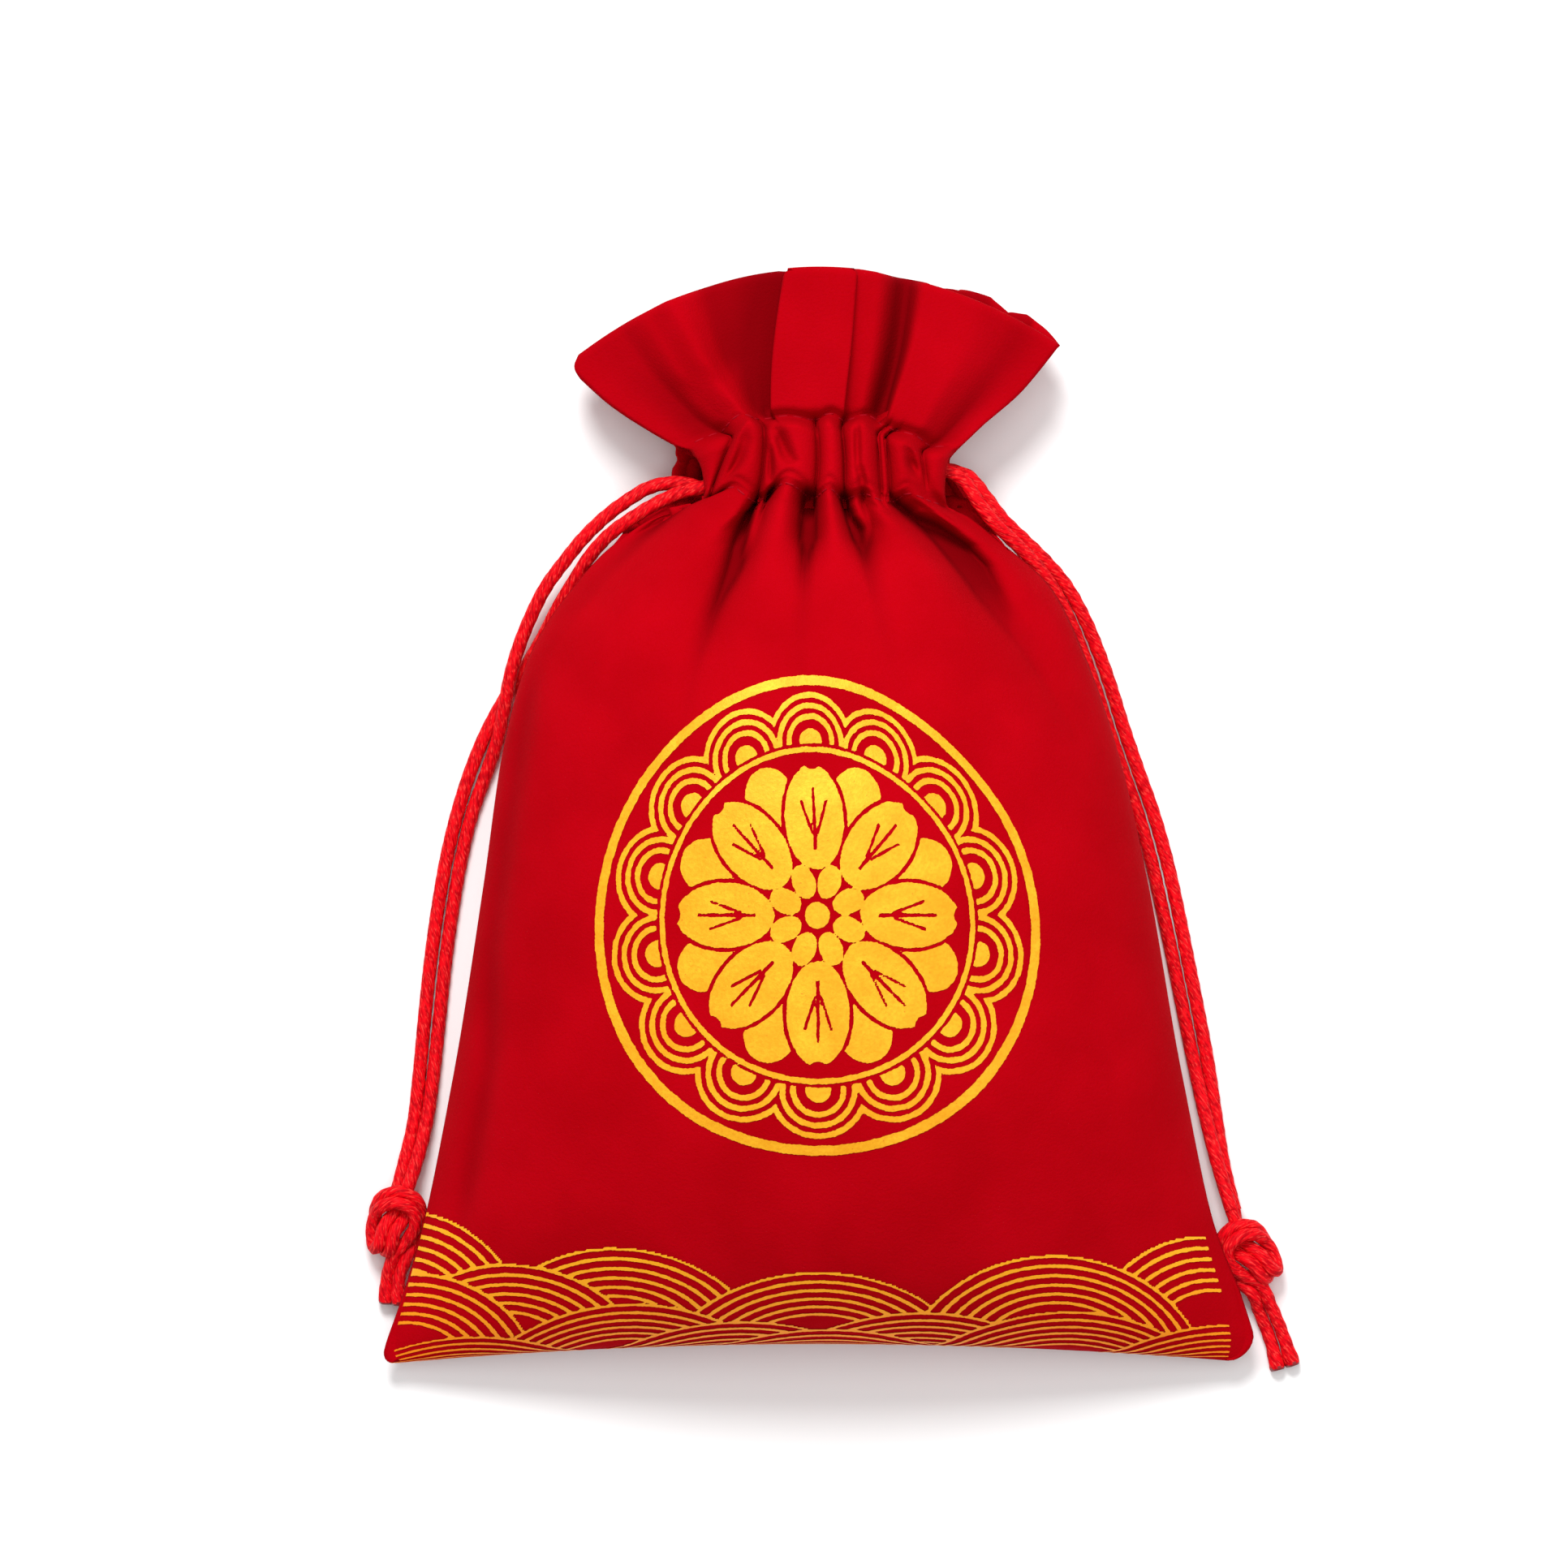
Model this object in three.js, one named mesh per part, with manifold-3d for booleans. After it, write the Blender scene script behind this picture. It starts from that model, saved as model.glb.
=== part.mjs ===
// A small velvet drawstring bag. It lies on its back, filled, with its neck drawn closed by two cords.
// Millimetres. X runs across the bag, Y from the bottom seam to the mouth, Z up from the surface it lies on.
import * as THREE from 'three';
import { mergeVertices } from 'three/addons/utils/BufferGeometryUtils.js';
import Module from 'manifold-3d';

// Driving dimensions
const flatHalf = 65;          // half of the cloth's flat width
const cloth = 1.4;            // velvet wall
const hemCloth = 1.0;         // turned-in hem
const gap = 0.3;              // clearance between pieces that touch
const cordDiameter = 2.0;
const tunnelHeight = 2.7;     // cord casing, between panel and hem
const cordSpread = 1.35;      // each cord's distance from the middle line of the casing
const hemGap = 0.6;           // between a hem and its panel's pleats
const hemInset = 3.6;         // at the casing the hems stop this far short of the panels' edges
const bottomRoll = 10;        // the walls turn from upright to level over this length at the bottom
const gatherStart = -5;       // Y where the warp lines begin to draw together
const foldStart = 2;          // Y where the gathers begin to show
const foldFull = 38;          // Y where they are at their deepest
const fanEase = 0.7;          // below 1 the ruffle opens fastest just above the casing
const pleatEase = 0.8;        // below 1 its pleats deepen fastest there too
const puffFullness = 0.7;     // below 1 the casing's puffs are full, with steep ends

// Mesh steps
const frontColumn = 4.6;      // flat cloth between two columns of a wall
const backColumn = 7;
const cordSides = 8;
const cordStep = 4.2;           // length of a straight piece of a free strand
const bightStep = 2.0;
const knotStep = 2.2;

// The bag's sections, from the bottom seam to the top of the ruffle. y is the middle's place, dropL and dropR
// how much lower the two sides are, left and right the half widths, seam the side seams' height, front and back
// the heights of the two crowns, and below 0 the cloth is pressed flat on the surface. arch is the shape of the
// sides (0.5 an ellipse, 1 a shallow arch), lift how far the panels' edges stand off the seam, and tunnel is 1
// where the cords run between panel and hem.
const sections = namedRows(
  ['y', 'dropL', 'dropR', 'left', 'right', 'seam', 'front', 'back', 'arch', 'lift', 'tunnel'], [
    [-77.2, 3.3, 3.0, 64.5, 63.6, 4.0, 9.15, 8.85, 1.0, 0.0, 0],
    [-76.6, 3.5, 3.2, 64.3, 64.3, 4.2, 14.5, 5.6, 1.0, 0.0, 0],
    [-74.0, 3.4, 3.2, 63.6, 64.5, 4.8, 19.8, 2.6, 0.95, 0.0, 0],
    [-68.0, 2.6, 2.6, 61.2, 62.6, 6.4, 26.3, 0.6, 0.85, 0.0, 0],
    [-58.0, 1.5, 1.5, 57.9, 58.3, 9.0, 32.4, -0.4, 0.7, 0.0, 0],
    [-37.0, 0.0, 0.0, 53.3, 53.4, 12.0, 38.6, -0.9, 0.58, 0.0, 0],
    [-10.0, 0.0, 0.0, 49.0, 48.6, 13.0, 40.2, -1.0, 0.52, 0.0, 0],
    [10.0, 0.0, 0.0, 46.1, 44.0, 13.0, 38.2, -0.7, 0.54, 0.0, 0],
    [24.0, 0.0, 0.0, 42.2, 39.2, 12.8, 34.2, 0.3, 0.6, 0.0, 0],
    [34.0, 0.0, 0.0, 35.8, 34.2, 12.2, 29.4, 0.8, 0.7, 0.0, 0],
    [40.0, 0.0, 0.0, 30.2, 27.6, 11.6, 25.2, 1.4, 0.85, 0.0, 0],
    [44.0, 0.0, 0.0, 24.2, 22.6, 11.0, 21.0, 1.8, 1.0, 0.0, 0],
    [45.6, 0.4, 0.4, 19.4, 20.2, 10.6, 17.6, 3.4, 1.0, 0.2, 0],
    [47.0, 1.0, 1.0, 16.9, 18.9, 10.4, 16.1, 4.7, 1.0, 0.6, 0],
    [48.6, 1.3, 1.3, 16.8, 18.8, 10.4, 18.6, 2.2, 1.0, 2.6, 1],
    [52.1, 2.1, 2.1, 16.8, 18.8, 10.4, 18.6, 2.2, 1.0, 2.6, 1],
    [55.6, 3.0, 3.0, 17.6, 19.2, 10.4, 18.6, 2.2, 1.0, 2.6, 1],
    [57.3, 3.5, 3.5, 19.2, 20.2, 10.4, 16.1, 4.7, 1.0, 1.6, 0],
    [63.0, 6.0, 5.2, 24.4, 24.2, 10.4, 17.2, 3.8, 1.0, 1.6, 0],
    [71.0, 9.6, 8.0, 30.6, 29.8, 10.4, 18.4, 3.0, 1.0, 1.6, 0],
    [80.5, 13.6, 10.8, 36.2, 35.0, 10.4, 19.4, 2.2, 1.0, 1.6, 0],
  ]);
const longSections = [4, 5, 6, 7];    // the body's long stretches, which get one more row of the mesh
const hemStart = 12;                  // the hems reach down to just below the casing
const lowStitch = sections[13];
const casingMiddle = sections[15];
const highStitch = sections[17];
const topSection = sections.at(-1);

// The cloth's folds. Each row is one warp line of the cloth: flat is its place across the flat cloth, neck and
// top its places at the casing and at the ruffle's top edge. The last three are how far it stands out below the
// casing, on the casing and at the ruffle's top.
const foldColumns = ['flat', 'neck', 'top', 'below', 'casing', 'ruffle'];
const frontFolds = namedRows(foldColumns, [
  [-65, -16.9, -36.2, 0.0, 0.0, 0.0],
  [-48, -14.4, -25.8, -0.6, 0.5, -2.0],
  [-34, -11.6, -18.6, 2.2, 2.1, 1.6],
  [-26, -8.4, -15.2, -2.6, 0.0, -2.7],
  [-20, -7.2, -6.4, -2.8, 0.2, -3.0],
  [-12, -4.4, -4.8, 2.0, 2.2, 2.0],
  [-3, -0.6, -0.4, -3.0, 0.0, 2.2],
  [4, 1.8, 4.4, 1.7, 2.1, 2.0],
  [9, 4.0, 5.7, -2.6, 0.0, -1.6],
  [16, 6.8, 8.4, 1.6, 2.0, 0.9],
  [23, 9.4, 13.4, -2.4, 0.0, -3.0],
  [32, 12.2, 17.6, 1.6, 2.0, 1.4],
  [47, 15.8, 26.8, -1.0, 0.4, -1.6],
  [65, 18.9, 35.0, 0.0, 0.0, 0.0],
]);
const backFolds = namedRows(foldColumns, [
  [-65, -16.9, -36.2, 0.0, 0.0, 0.0],
  [-44, -12.6, -24.0, 1.4, 1.9, 1.2],
  [-30, -8.6, -15.5, -2.0, 0.0, -1.8],
  [-17, -4.6, -8.0, 1.6, 2.1, 1.4],
  [-5, -0.8, -1.5, -2.2, 0.0, -2.0],
  [8, 3.4, 6.5, 1.6, 2.1, 1.5],
  [20, 7.4, 13.0, -2.0, 0.0, -1.8],
  [33, 11.4, 19.5, 1.5, 2.0, 1.2],
  [48, 15.6, 27.0, -1.0, 0.3, -1.2],
  [65, 18.9, 35.0, 0.0, 0.0, 0.0],
]);

// Where the cords' points are across each half of the casing, as shares of its half width.
const heldPlaces = [0.01, 0.25, 0.5, 0.74];
const bightPlaces = [0.01, 0.25, 0.5, 0.68];

// The free strands, from the casing's end down to the knot, laid beside the bag.
const strandRoutes = {
  left_cord_front: [
    [-16.8, 48.6, 11.75], [-20.0, 47.9, 11.3], [-23.6, 46.3, 11.1], [-27.0, 43.8, 10.6],
    [-30.2, 41.3, 9.2], [-33.1, 38.5, 7.6], [-35.7, 35.2, 6.0], [-38.1, 31.3, 4.4],
    [-40.4, 26.9, 2.8], [-43.1, 22.3, 1.6], [-46.2, 17.6, 1.1], [-49.0, 12.4, 1.05],
    [-51.2, 7.0, 1.05], [-53.1, 1.0, 1.05], [-54.7, -5.6, 1.05], [-56.0, -13.0, 1.05],
    [-57.1, -21.0, 1.05], [-58.0, -29.5, 1.05], [-58.8, -38.0, 1.05], [-59.7, -45.5, 1.2],
    [-61.0, -51.0, 1.9], [-61.9, -54.6, 2.9],
  ],
  left_cord_back: [
    [-16.8, 48.7, 9.05], [-20.4, 49.4, 8.7], [-24.5, 49.3, 8.2], [-28.1, 47.7, 8.0],
    [-31.5, 45.1, 7.6], [-34.6, 41.9, 6.9], [-37.4, 38.2, 6.0], [-40.0, 34.1, 5.1],
    [-42.2, 29.8, 4.4], [-44.0, 25.3, 4.0], [-45.3, 20.8, 3.8], [-46.1, 16.5, 3.4],
    [-47.0, 11.9, 2.2], [-48.6, 6.6, 1.2], [-50.6, 1.0, 1.05], [-52.2, -5.6, 1.05],
    [-53.5, -13.0, 1.05], [-54.6, -21.0, 1.05], [-55.5, -29.5, 1.1], [-56.4, -38.0, 1.4],
    [-57.6, -45.5, 2.2], [-59.2, -51.0, 3.4], [-60.4, -54.6, 4.7],
  ],
  right_cord_front: [
    [18.8, 51.2, 11.75], [21.5, 49.5, 11.6], [23.7, 46.6, 11.5], [26.2, 43.4, 11.0],
    [29.0, 40.5, 9.9], [32.0, 37.5, 8.4], [34.7, 33.8, 6.8], [37.0, 29.6, 5.0],
    [39.1, 24.6, 3.4], [41.0, 19.4, 2.1], [42.9, 13.6, 1.2], [45.1, 7.2, 1.05],
    [47.3, 1.0, 1.05], [49.2, -5.6, 1.05], [50.8, -12.6, 1.05], [52.4, -20.0, 1.05],
    [54.0, -28.0, 1.1], [55.6, -36.0, 1.6], [57.3, -44.0, 3.0], [59.2, -51.5, 4.0],
    [61.1, -57.8, 4.9],
  ],
  right_cord_back: [
    [18.8, 51.4, 9.05], [22.3, 50.4, 8.8], [25.2, 47.8, 8.6], [28.2, 44.7, 8.3],
    [31.2, 41.6, 7.5], [34.2, 38.2, 6.4], [36.9, 34.5, 5.2], [39.3, 30.2, 4.2],
    [41.7, 25.2, 3.0], [43.8, 19.6, 1.9], [45.8, 13.6, 1.15], [47.9, 7.2, 1.05],
    [50.0, 1.0, 1.05], [51.9, -5.6, 1.05], [53.6, -12.6, 1.05], [55.1, -20.0, 1.05],
    [56.5, -28.0, 1.05], [57.8, -36.0, 1.05], [58.9, -44.0, 1.05], [60.1, -51.5, 1.5],
    [61.6, -57.8, 2.5],
  ],
};

// The knots of both strands: middle, direction of the axis, and each strand's short cut tail.
const knotRadius = 2.7;       // of the wrapped cord's centre line
const knotLength = 5.4;
const knotTurns = 2.2;
const turnPoints = 8;         // of the centre line, in each turn
const strandAngle = 0.6;      // where the first strand lies inside the wraps, in radians
const knots = {
  left_knot: {
    middle: [-61.8, -60.0, 3.75],
    axis: [-0.04, -1, 0],
    tails: {
      left_cord_front: [[-64.1, -67.4, 2.4], [-64.4, -71.6, 1.3]],
      left_cord_back: [[-61.9, -67.4, 4.0], [-62.2, -71.8, 3.4]],
    },
  },
  right_knot: {
    middle: [63.2, -63.6, 3.75],
    axis: [0.33, -0.94, 0],
    tails: {
      right_cord_back: [[66.4, -72.0, 1.6], [67.4, -81.6, 1.05]],
      right_cord_front: [[68.0, -71.6, 3.2], [70.9, -80.4, 1.3]],
    },
  },
};

const velvetRed = { color: 0xba0111, roughness: 0.9, metalness: 0 };
const velvetInside = { color: 0x9c0412, roughness: 0.95, metalness: 0 };
const satinRed = { color: 0xd91022, roughness: 0.45, metalness: 0 };

function namedRows(columns, rows) {
  return rows.map((row) => Object.fromEntries(columns.map((name, i) => [name, row[i]])));
}

function mix(a, b, t) {
  return a + (b - a) * t;
}

function smooth(from, to, value) {
  return THREE.MathUtils.smoothstep(value, from, to);
}

// A section between two rows of the table, on a curve that never overshoots them.
function sectionAt(place) {
  const low = Math.min(Math.floor(place), sections.length - 2);
  const t = place - low;
  const row = {};
  for (const name of Object.keys(sections[0])) {
    const value = (i) => sections[THREE.MathUtils.clamp(i, 0, sections.length - 1)][name];
    const slope = (i) => {
      const before = value(i) - value(i - 1);
      const after = value(i + 1) - value(i);
      return before * after > 0 ? (2 * before * after) / (before + after) : 0;
    };
    const a = value(low);
    const b = value(low + 1);
    const square = 3 * (b - a) - 2 * slope(low) - slope(low + 1);
    const cube = 2 * (a - b) + slope(low) + slope(low + 1);
    row[name] = a + t * (slope(low) + t * (square + t * cube));
  }
  return row;
}

// A warp line between two rows of a fold table. The cloth rounds over a ridge and meets a valley in a crease.
function warpBetween(a, b, t) {
  const line = {};
  for (const name of ['flat', 'neck', 'top']) {
    line[name] = mix(a[name], b[name], t);
  }
  for (const name of ['below', 'casing', 'ruffle']) {
    const rises = b[name] > a[name];
    const rounded = rises ? Math.sin((t * Math.PI) / 2) : 1 - Math.cos((t * Math.PI) / 2);
    line[name] = mix(a[name], b[name], rounded);
  }
  return line;
}

// The columns of a wall's mesh: the folds' own warp lines, with even steps between them.
function warpLines(folds, columnWidth) {
  const lines = [folds[0]];
  for (let i = 0; i + 1 < folds.length; i += 1) {
    const steps = Math.max(2, Math.round((folds[i + 1].flat - folds[i].flat) / columnWidth));
    for (let k = 1; k <= steps; k += 1) {
      lines.push(warpBetween(folds[i], folds[i + 1], k / steps));
    }
  }
  return lines;
}

// The rows of a wall's mesh, as places in the table of sections.
function meshRows(first) {
  const places = [];
  for (let i = first; i < sections.length; i += 1) {
    places.push(i);
    if (longSections.includes(i)) {
      places.push(i + 0.5);
    }
  }
  return places;
}

// Where a warp line is across a section, from -1 at the left seam to 1 at the right one.
function across(line, row) {
  const share = (x, section) => THREE.MathUtils.clamp(x / (x < 0 ? section.left : section.right), -1, 1);
  const body = Math.sin((line.flat / flatHalf) * (Math.PI / 2));
  const drawn = mix(body, share(line.neck, lowStitch), smooth(gatherStart, lowStitch.y, row.y));
  const fan = THREE.MathUtils.clamp((row.y - highStitch.y) / (topSection.y - highStitch.y), 0, 1);
  return mix(drawn, share(line.top, topSection), fan ** fanEase);
}

// How far a fold stands out at a section. The casing's puffs swell the outer face alone.
function foldRise(line, row, inside) {
  const hemY = sections[hemStart].y;
  const below = smooth(foldStart, foldFull, row.y) * (1 - smooth(sections[hemStart - 2].y, hemY, row.y));
  const puffed = THREE.MathUtils.clamp((row.y - hemY) / (highStitch.y + lowStitch.y - 2 * hemY), 0, 1);
  const casing = inside ? 0 : Math.sin(Math.PI * puffed) ** puffFullness;
  const ruffle = Math.max(0, (row.y - highStitch.y) / (topSection.y - highStitch.y)) ** pleatEase;
  return line.below * below + line.casing * casing + line.ruffle * ruffle;
}

// A point of a panel's wall. side is 1 for the front and -1 for the back, inside is true on the inner face, and
// xi is the place across the section.
function panelPoint(side, row, xi, rise, inside) {
  const sheet = smooth(sections[hemStart - 3].y, sections[hemStart].y, row.y);
  const roll = Math.min(1, Math.sqrt((row.y - sections[0].y) / bottomRoll));
  const inset = (inside ? cloth : 0) / Math.hypot(roll, 1 - roll);
  const half = (xi < 0 ? row.left : row.right) - (inside ? cloth : 0) * (1 - sheet);
  const y = row.y - (xi < 0 ? row.dropL : row.dropR) * xi * xi + inset * (1 - roll);
  const edge = gap / 2 + row.lift + (inside ? 0 : cloth * sheet);
  const crown = side * ((side > 0 ? row.front : row.back) - row.seam) - inset * roll;
  const bulge = edge + (crown - edge) * (1 - xi * xi) ** row.arch + rise;
  const z = row.seam + side * (row.y > foldStart ? Math.max(bulge, edge) : bulge);
  const lowest = inside ? cloth : 0;
  return new THREE.Vector3(half * xi, y, Math.max(z, lowest));
}

function panelGeometry(side, folds, columnWidth) {
  const lines = warpLines(folds, columnWidth);
  const rows = meshRows(0).map(sectionAt);
  const face = (inside) => rows.map((row) => lines.map((line) => (
    panelPoint(side, row, across(line, row), foldRise(line, row, inside), inside)
  )));
  return wallGeometry(face(false), face(true), side < 0);
}

// A hem lies inside its panel and leaves room for the cords at the casing.
function hemGeometry(side, folds, columnWidth) {
  const lines = warpLines(folds, columnWidth);
  const rows = meshRows(hemStart).map(sectionAt);
  const face = (inside) => rows.map((row) => lines.map((line) => {
    const xi = across(line, row);
    const inset = row.y >= highStitch.y ? 0 : hemInset / (xi < 0 ? row.left : row.right);
    const point = panelPoint(side, row, xi * (1 - inset), foldRise(line, row, true), true);
    point.z -= side * (mix(hemGap, tunnelHeight, row.tunnel) + (inside ? hemCloth : 0));
    return point;
  }));
  return wallGeometry(face(false), face(true), side < 0);
}

// A closed wall between two faces, each a grid of points. flip turns it over for a face that looks down.
function wallGeometry(outer, inner, flip) {
  const lastRow = outer.length - 1;
  const lastColumn = outer[0].length - 1;
  const points = [...outer.flat(), ...inner.flat()];
  const out = (r, c) => r * (lastColumn + 1) + c;
  const inn = (r, c) => outer.flat().length + out(r, c);
  const triangles = [];
  const quad = (a, b, c, d) => triangles.push(...(flip ? [a, c, b, a, d, c] : [a, b, c, a, c, d]));
  for (let r = 0; r < lastRow; r += 1) {
    for (let c = 0; c < lastColumn; c += 1) {
      quad(out(r, c), out(r, c + 1), out(r + 1, c + 1), out(r + 1, c));
      quad(inn(r, c), inn(r + 1, c), inn(r + 1, c + 1), inn(r, c + 1));
    }
    quad(out(r, 0), out(r + 1, 0), inn(r + 1, 0), inn(r, 0));
    quad(out(r, lastColumn), inn(r, lastColumn), inn(r + 1, lastColumn), out(r + 1, lastColumn));
  }
  for (let c = 0; c < lastColumn; c += 1) {
    quad(out(0, c), inn(0, c), inn(0, c + 1), out(0, c + 1));
    quad(out(lastRow, c), out(lastRow, c + 1), inn(lastRow, c + 1), inn(lastRow, c));
  }
  const geometry = new THREE.BufferGeometry();
  geometry.setAttribute('position', new THREE.Float32BufferAttribute(points.flatMap((p) => p.toArray()), 3));
  geometry.setIndex(triangles);
  geometry.computeVertexNormals();
  return geometry;
}

// A round cord along a smooth curve through the points.
function cordGeometry(points, step) {
  const path = new THREE.CatmullRomCurve3(points);
  const corner = (i) => (i * 2 * Math.PI) / cordSides;
  const rim = Array.from({ length: cordSides }, (_, i) => (
    new THREE.Vector2(Math.cos(corner(i)), Math.sin(corner(i))).multiplyScalar(cordDiameter / 2)
  ));
  const steps = Math.round(path.getLength() / step);
  return new THREE.ExtrudeGeometry(new THREE.Shape(rim), { extrudePath: path, steps, bevelEnabled: false });
}

// The middle of a cord inside the casing. offset tells the two cords apart.
function casingPoint(side, xi, offset) {
  const point = panelPoint(side, casingMiddle, xi, 0, true);
  point.y += offset;
  point.z -= (side * tunnelHeight) / 2;
  return point;
}

// A strand starts in the middle of the casing and leaves it at the bag's left or right, which sign gives.
function strandPoints(name, sign, side) {
  const held = heldPlaces.map((xi) => casingPoint(side, sign * xi, sign * cordSpread));
  const free = strandRoutes[name].map((p) => new THREE.Vector3(...p));
  return [...held, ...free];
}

// A bight goes on from there through the other half of the casing, round the hems' ends and back.
function bightPoints(sign) {
  const turnInset = 0.4;
  const half = sign < 0 ? casingMiddle.right : casingMiddle.left;
  const turnXi = (-sign * (half - hemInset - turnInset)) / half;
  const start = casingPoint(1, turnXi, sign * cordSpread);
  const radius = start.z - casingMiddle.seam;
  const along = bightPlaces.map((xi) => -sign * xi);
  const front = along.map((xi) => casingPoint(1, xi, sign * cordSpread));
  const back = along.map((xi) => casingPoint(-1, xi, sign * cordSpread)).reverse();
  const turn = [90, 45, 0, -45, -90].map((degrees) => {
    const angle = THREE.MathUtils.degToRad(degrees);
    const out = -sign * radius * Math.cos(angle);
    return new THREE.Vector3(start.x + out, start.y, casingMiddle.seam + radius * Math.sin(angle));
  });
  return [...front, ...turn, ...back];
}

const wasm = await Module();
wasm.setup();

function solidOf(geometry) {
  geometry.deleteAttribute('normal');
  geometry.deleteAttribute('uv');
  const merged = mergeVertices(geometry);
  return new wasm.Manifold(new wasm.Mesh({
    numProp: 3,
    vertProperties: new Float32Array(merged.getAttribute('position').array),
    triVerts: new Uint32Array(merged.getIndex().array),
  }));
}

// Both strands run through the knot and out as tails, with the cord wrapped round them.
function knotGeometry(knot) {
  const middle = new THREE.Vector3(...knot.middle);
  const axis = new THREE.Vector3(...knot.axis).normalize();
  const aside = new THREE.Vector3(-axis.y, axis.x, 0);
  const up = new THREE.Vector3(0, 0, 1);
  const place = (along, radius, angle) => middle.clone()
    .addScaledVector(axis, along)
    .addScaledVector(aside, radius * Math.cos(angle))
    .addScaledVector(up, radius * Math.sin(angle));
  const wraps = Math.round(knotTurns * turnPoints);
  const coil = Array.from({ length: wraps + 1 }, (_, i) => (
    place((i / wraps - 0.5) * knotLength, knotRadius, (i / turnPoints) * 2 * Math.PI)
  ));
  let solid = solidOf(cordGeometry(coil, knotStep));
  Object.entries(knot.tails).forEach(([strand, tail], i) => {
    const route = strandRoutes[strand].slice(-2).map((p) => new THREE.Vector3(...p));
    const heading = route[1].clone().sub(route[0]).normalize();
    const angle = Math.PI * i + strandAngle;
    const through = [-0.4, 0, 0.5].map((share) => place(share * knotLength, cordDiameter / 2, angle));
    const cut = tail.map((p) => new THREE.Vector3(...p));
    const ahead = [gap, gap + cordDiameter / 2];
    const entry = ahead.map((length) => route[1].clone().addScaledVector(heading, length));
    const points = [...entry, ...through, ...cut];
    solid = solid.add(solidOf(cordGeometry(points, 2 * knotStep)));
  });
  const mesh = solid.getMesh();
  const geometry = new THREE.BufferGeometry();
  geometry.setAttribute('position', new THREE.Float32BufferAttribute(mesh.vertProperties, 3));
  geometry.setIndex(Array.from(mesh.triVerts));
  geometry.computeVertexNormals();
  return geometry;
}

const bag = new THREE.Group();

function addPiece(name, geometry, finish) {
  const piece = new THREE.Mesh(geometry, new THREE.MeshStandardMaterial(finish));
  piece.name = name;
  bag.add(piece);
}

addPiece('front_panel', panelGeometry(1, frontFolds, frontColumn), velvetRed);
addPiece('back_panel', panelGeometry(-1, backFolds, backColumn), velvetRed);
addPiece('front_hem', hemGeometry(1, frontFolds, frontColumn), velvetInside);
addPiece('back_hem', hemGeometry(-1, backFolds, backColumn), velvetInside);
for (const [hand, sign] of [['left', -1], ['right', 1]]) {
  addPiece(`${hand}_cord_front`, cordGeometry(strandPoints(`${hand}_cord_front`, sign, 1), cordStep), satinRed);
  addPiece(`${hand}_cord_back`, cordGeometry(strandPoints(`${hand}_cord_back`, sign, -1), cordStep), satinRed);
  addPiece(`${hand}_cord_bight`, cordGeometry(bightPoints(sign), bightStep), satinRed);
  addPiece(`${hand}_knot`, knotGeometry(knots[`${hand}_knot`]), satinRed);
}

export default bag;
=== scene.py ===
import math

import bpy
import numpy as np
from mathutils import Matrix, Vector


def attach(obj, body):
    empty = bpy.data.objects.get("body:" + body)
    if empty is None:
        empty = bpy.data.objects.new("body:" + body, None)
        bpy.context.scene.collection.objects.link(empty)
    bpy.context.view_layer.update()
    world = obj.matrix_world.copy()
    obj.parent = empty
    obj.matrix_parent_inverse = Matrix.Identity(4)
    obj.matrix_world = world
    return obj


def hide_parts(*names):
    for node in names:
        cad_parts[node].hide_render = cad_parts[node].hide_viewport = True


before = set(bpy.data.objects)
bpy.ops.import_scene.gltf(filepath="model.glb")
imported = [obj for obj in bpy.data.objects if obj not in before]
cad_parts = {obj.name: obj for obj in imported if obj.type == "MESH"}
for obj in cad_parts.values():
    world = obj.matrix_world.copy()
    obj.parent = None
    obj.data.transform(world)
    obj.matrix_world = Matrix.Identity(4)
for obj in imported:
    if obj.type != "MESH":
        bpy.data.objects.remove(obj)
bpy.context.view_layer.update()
mm = 0.001  # tables below are in millimetres, as in the part's source
print("frame loaded")


def linear(code):  # sRGB hex to linear colour
    parts = [int(code[i:i + 2], 16) / 255 for i in (1, 3, 5)]
    return [p / 12.92 if p <= 0.04045 else ((p + 0.055) / 1.055) ** 2.4 for p in parts] + [1.0]


def mix(a, b, t):
    return a + (b - a) * t


def smooth(low, high, value):
    t = np.clip((np.asarray(value, float) - low) / (high - low), 0, 1)
    return t * t * (3 - 2 * t)


def band(low, rise, fall, high, value):  # rises from 0 to 1, stays, and falls to 0 again
    return smooth(low, rise, value) * (1 - smooth(fall, high, value))


def unit(vectors):
    return vectors / np.linalg.norm(vectors, axis=-1, keepdims=True)


def running(points):  # length along a line, at each of its points
    return np.concatenate([[0], np.cumsum(np.linalg.norm(np.diff(points, axis=0), axis=1))])


def newObject(name, data):
    thing = bpy.data.objects.new(name, data)
    bpy.context.scene.collection.objects.link(thing)
    return thing


# camera and light: straight above the bag, as in the photo
view = {"middle": (-4.9, 5.1), "width": 230.0, "height": 1500.0, "level": 12.0, "sensor": 36.0}
cameraData = bpy.data.cameras.new("camera")
cameraData.sensor_width = view["sensor"]
cameraData.lens = view["sensor"] * (view["height"] - view["level"]) / view["width"]
camera = newObject("camera", cameraData)
camera.location = (view["middle"][0] * mm, view["middle"][1] * mm, view["height"] * mm)
bpy.context.scene.camera = camera
print("camera at", tuple(round(v, 4) for v in camera.location))

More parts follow.
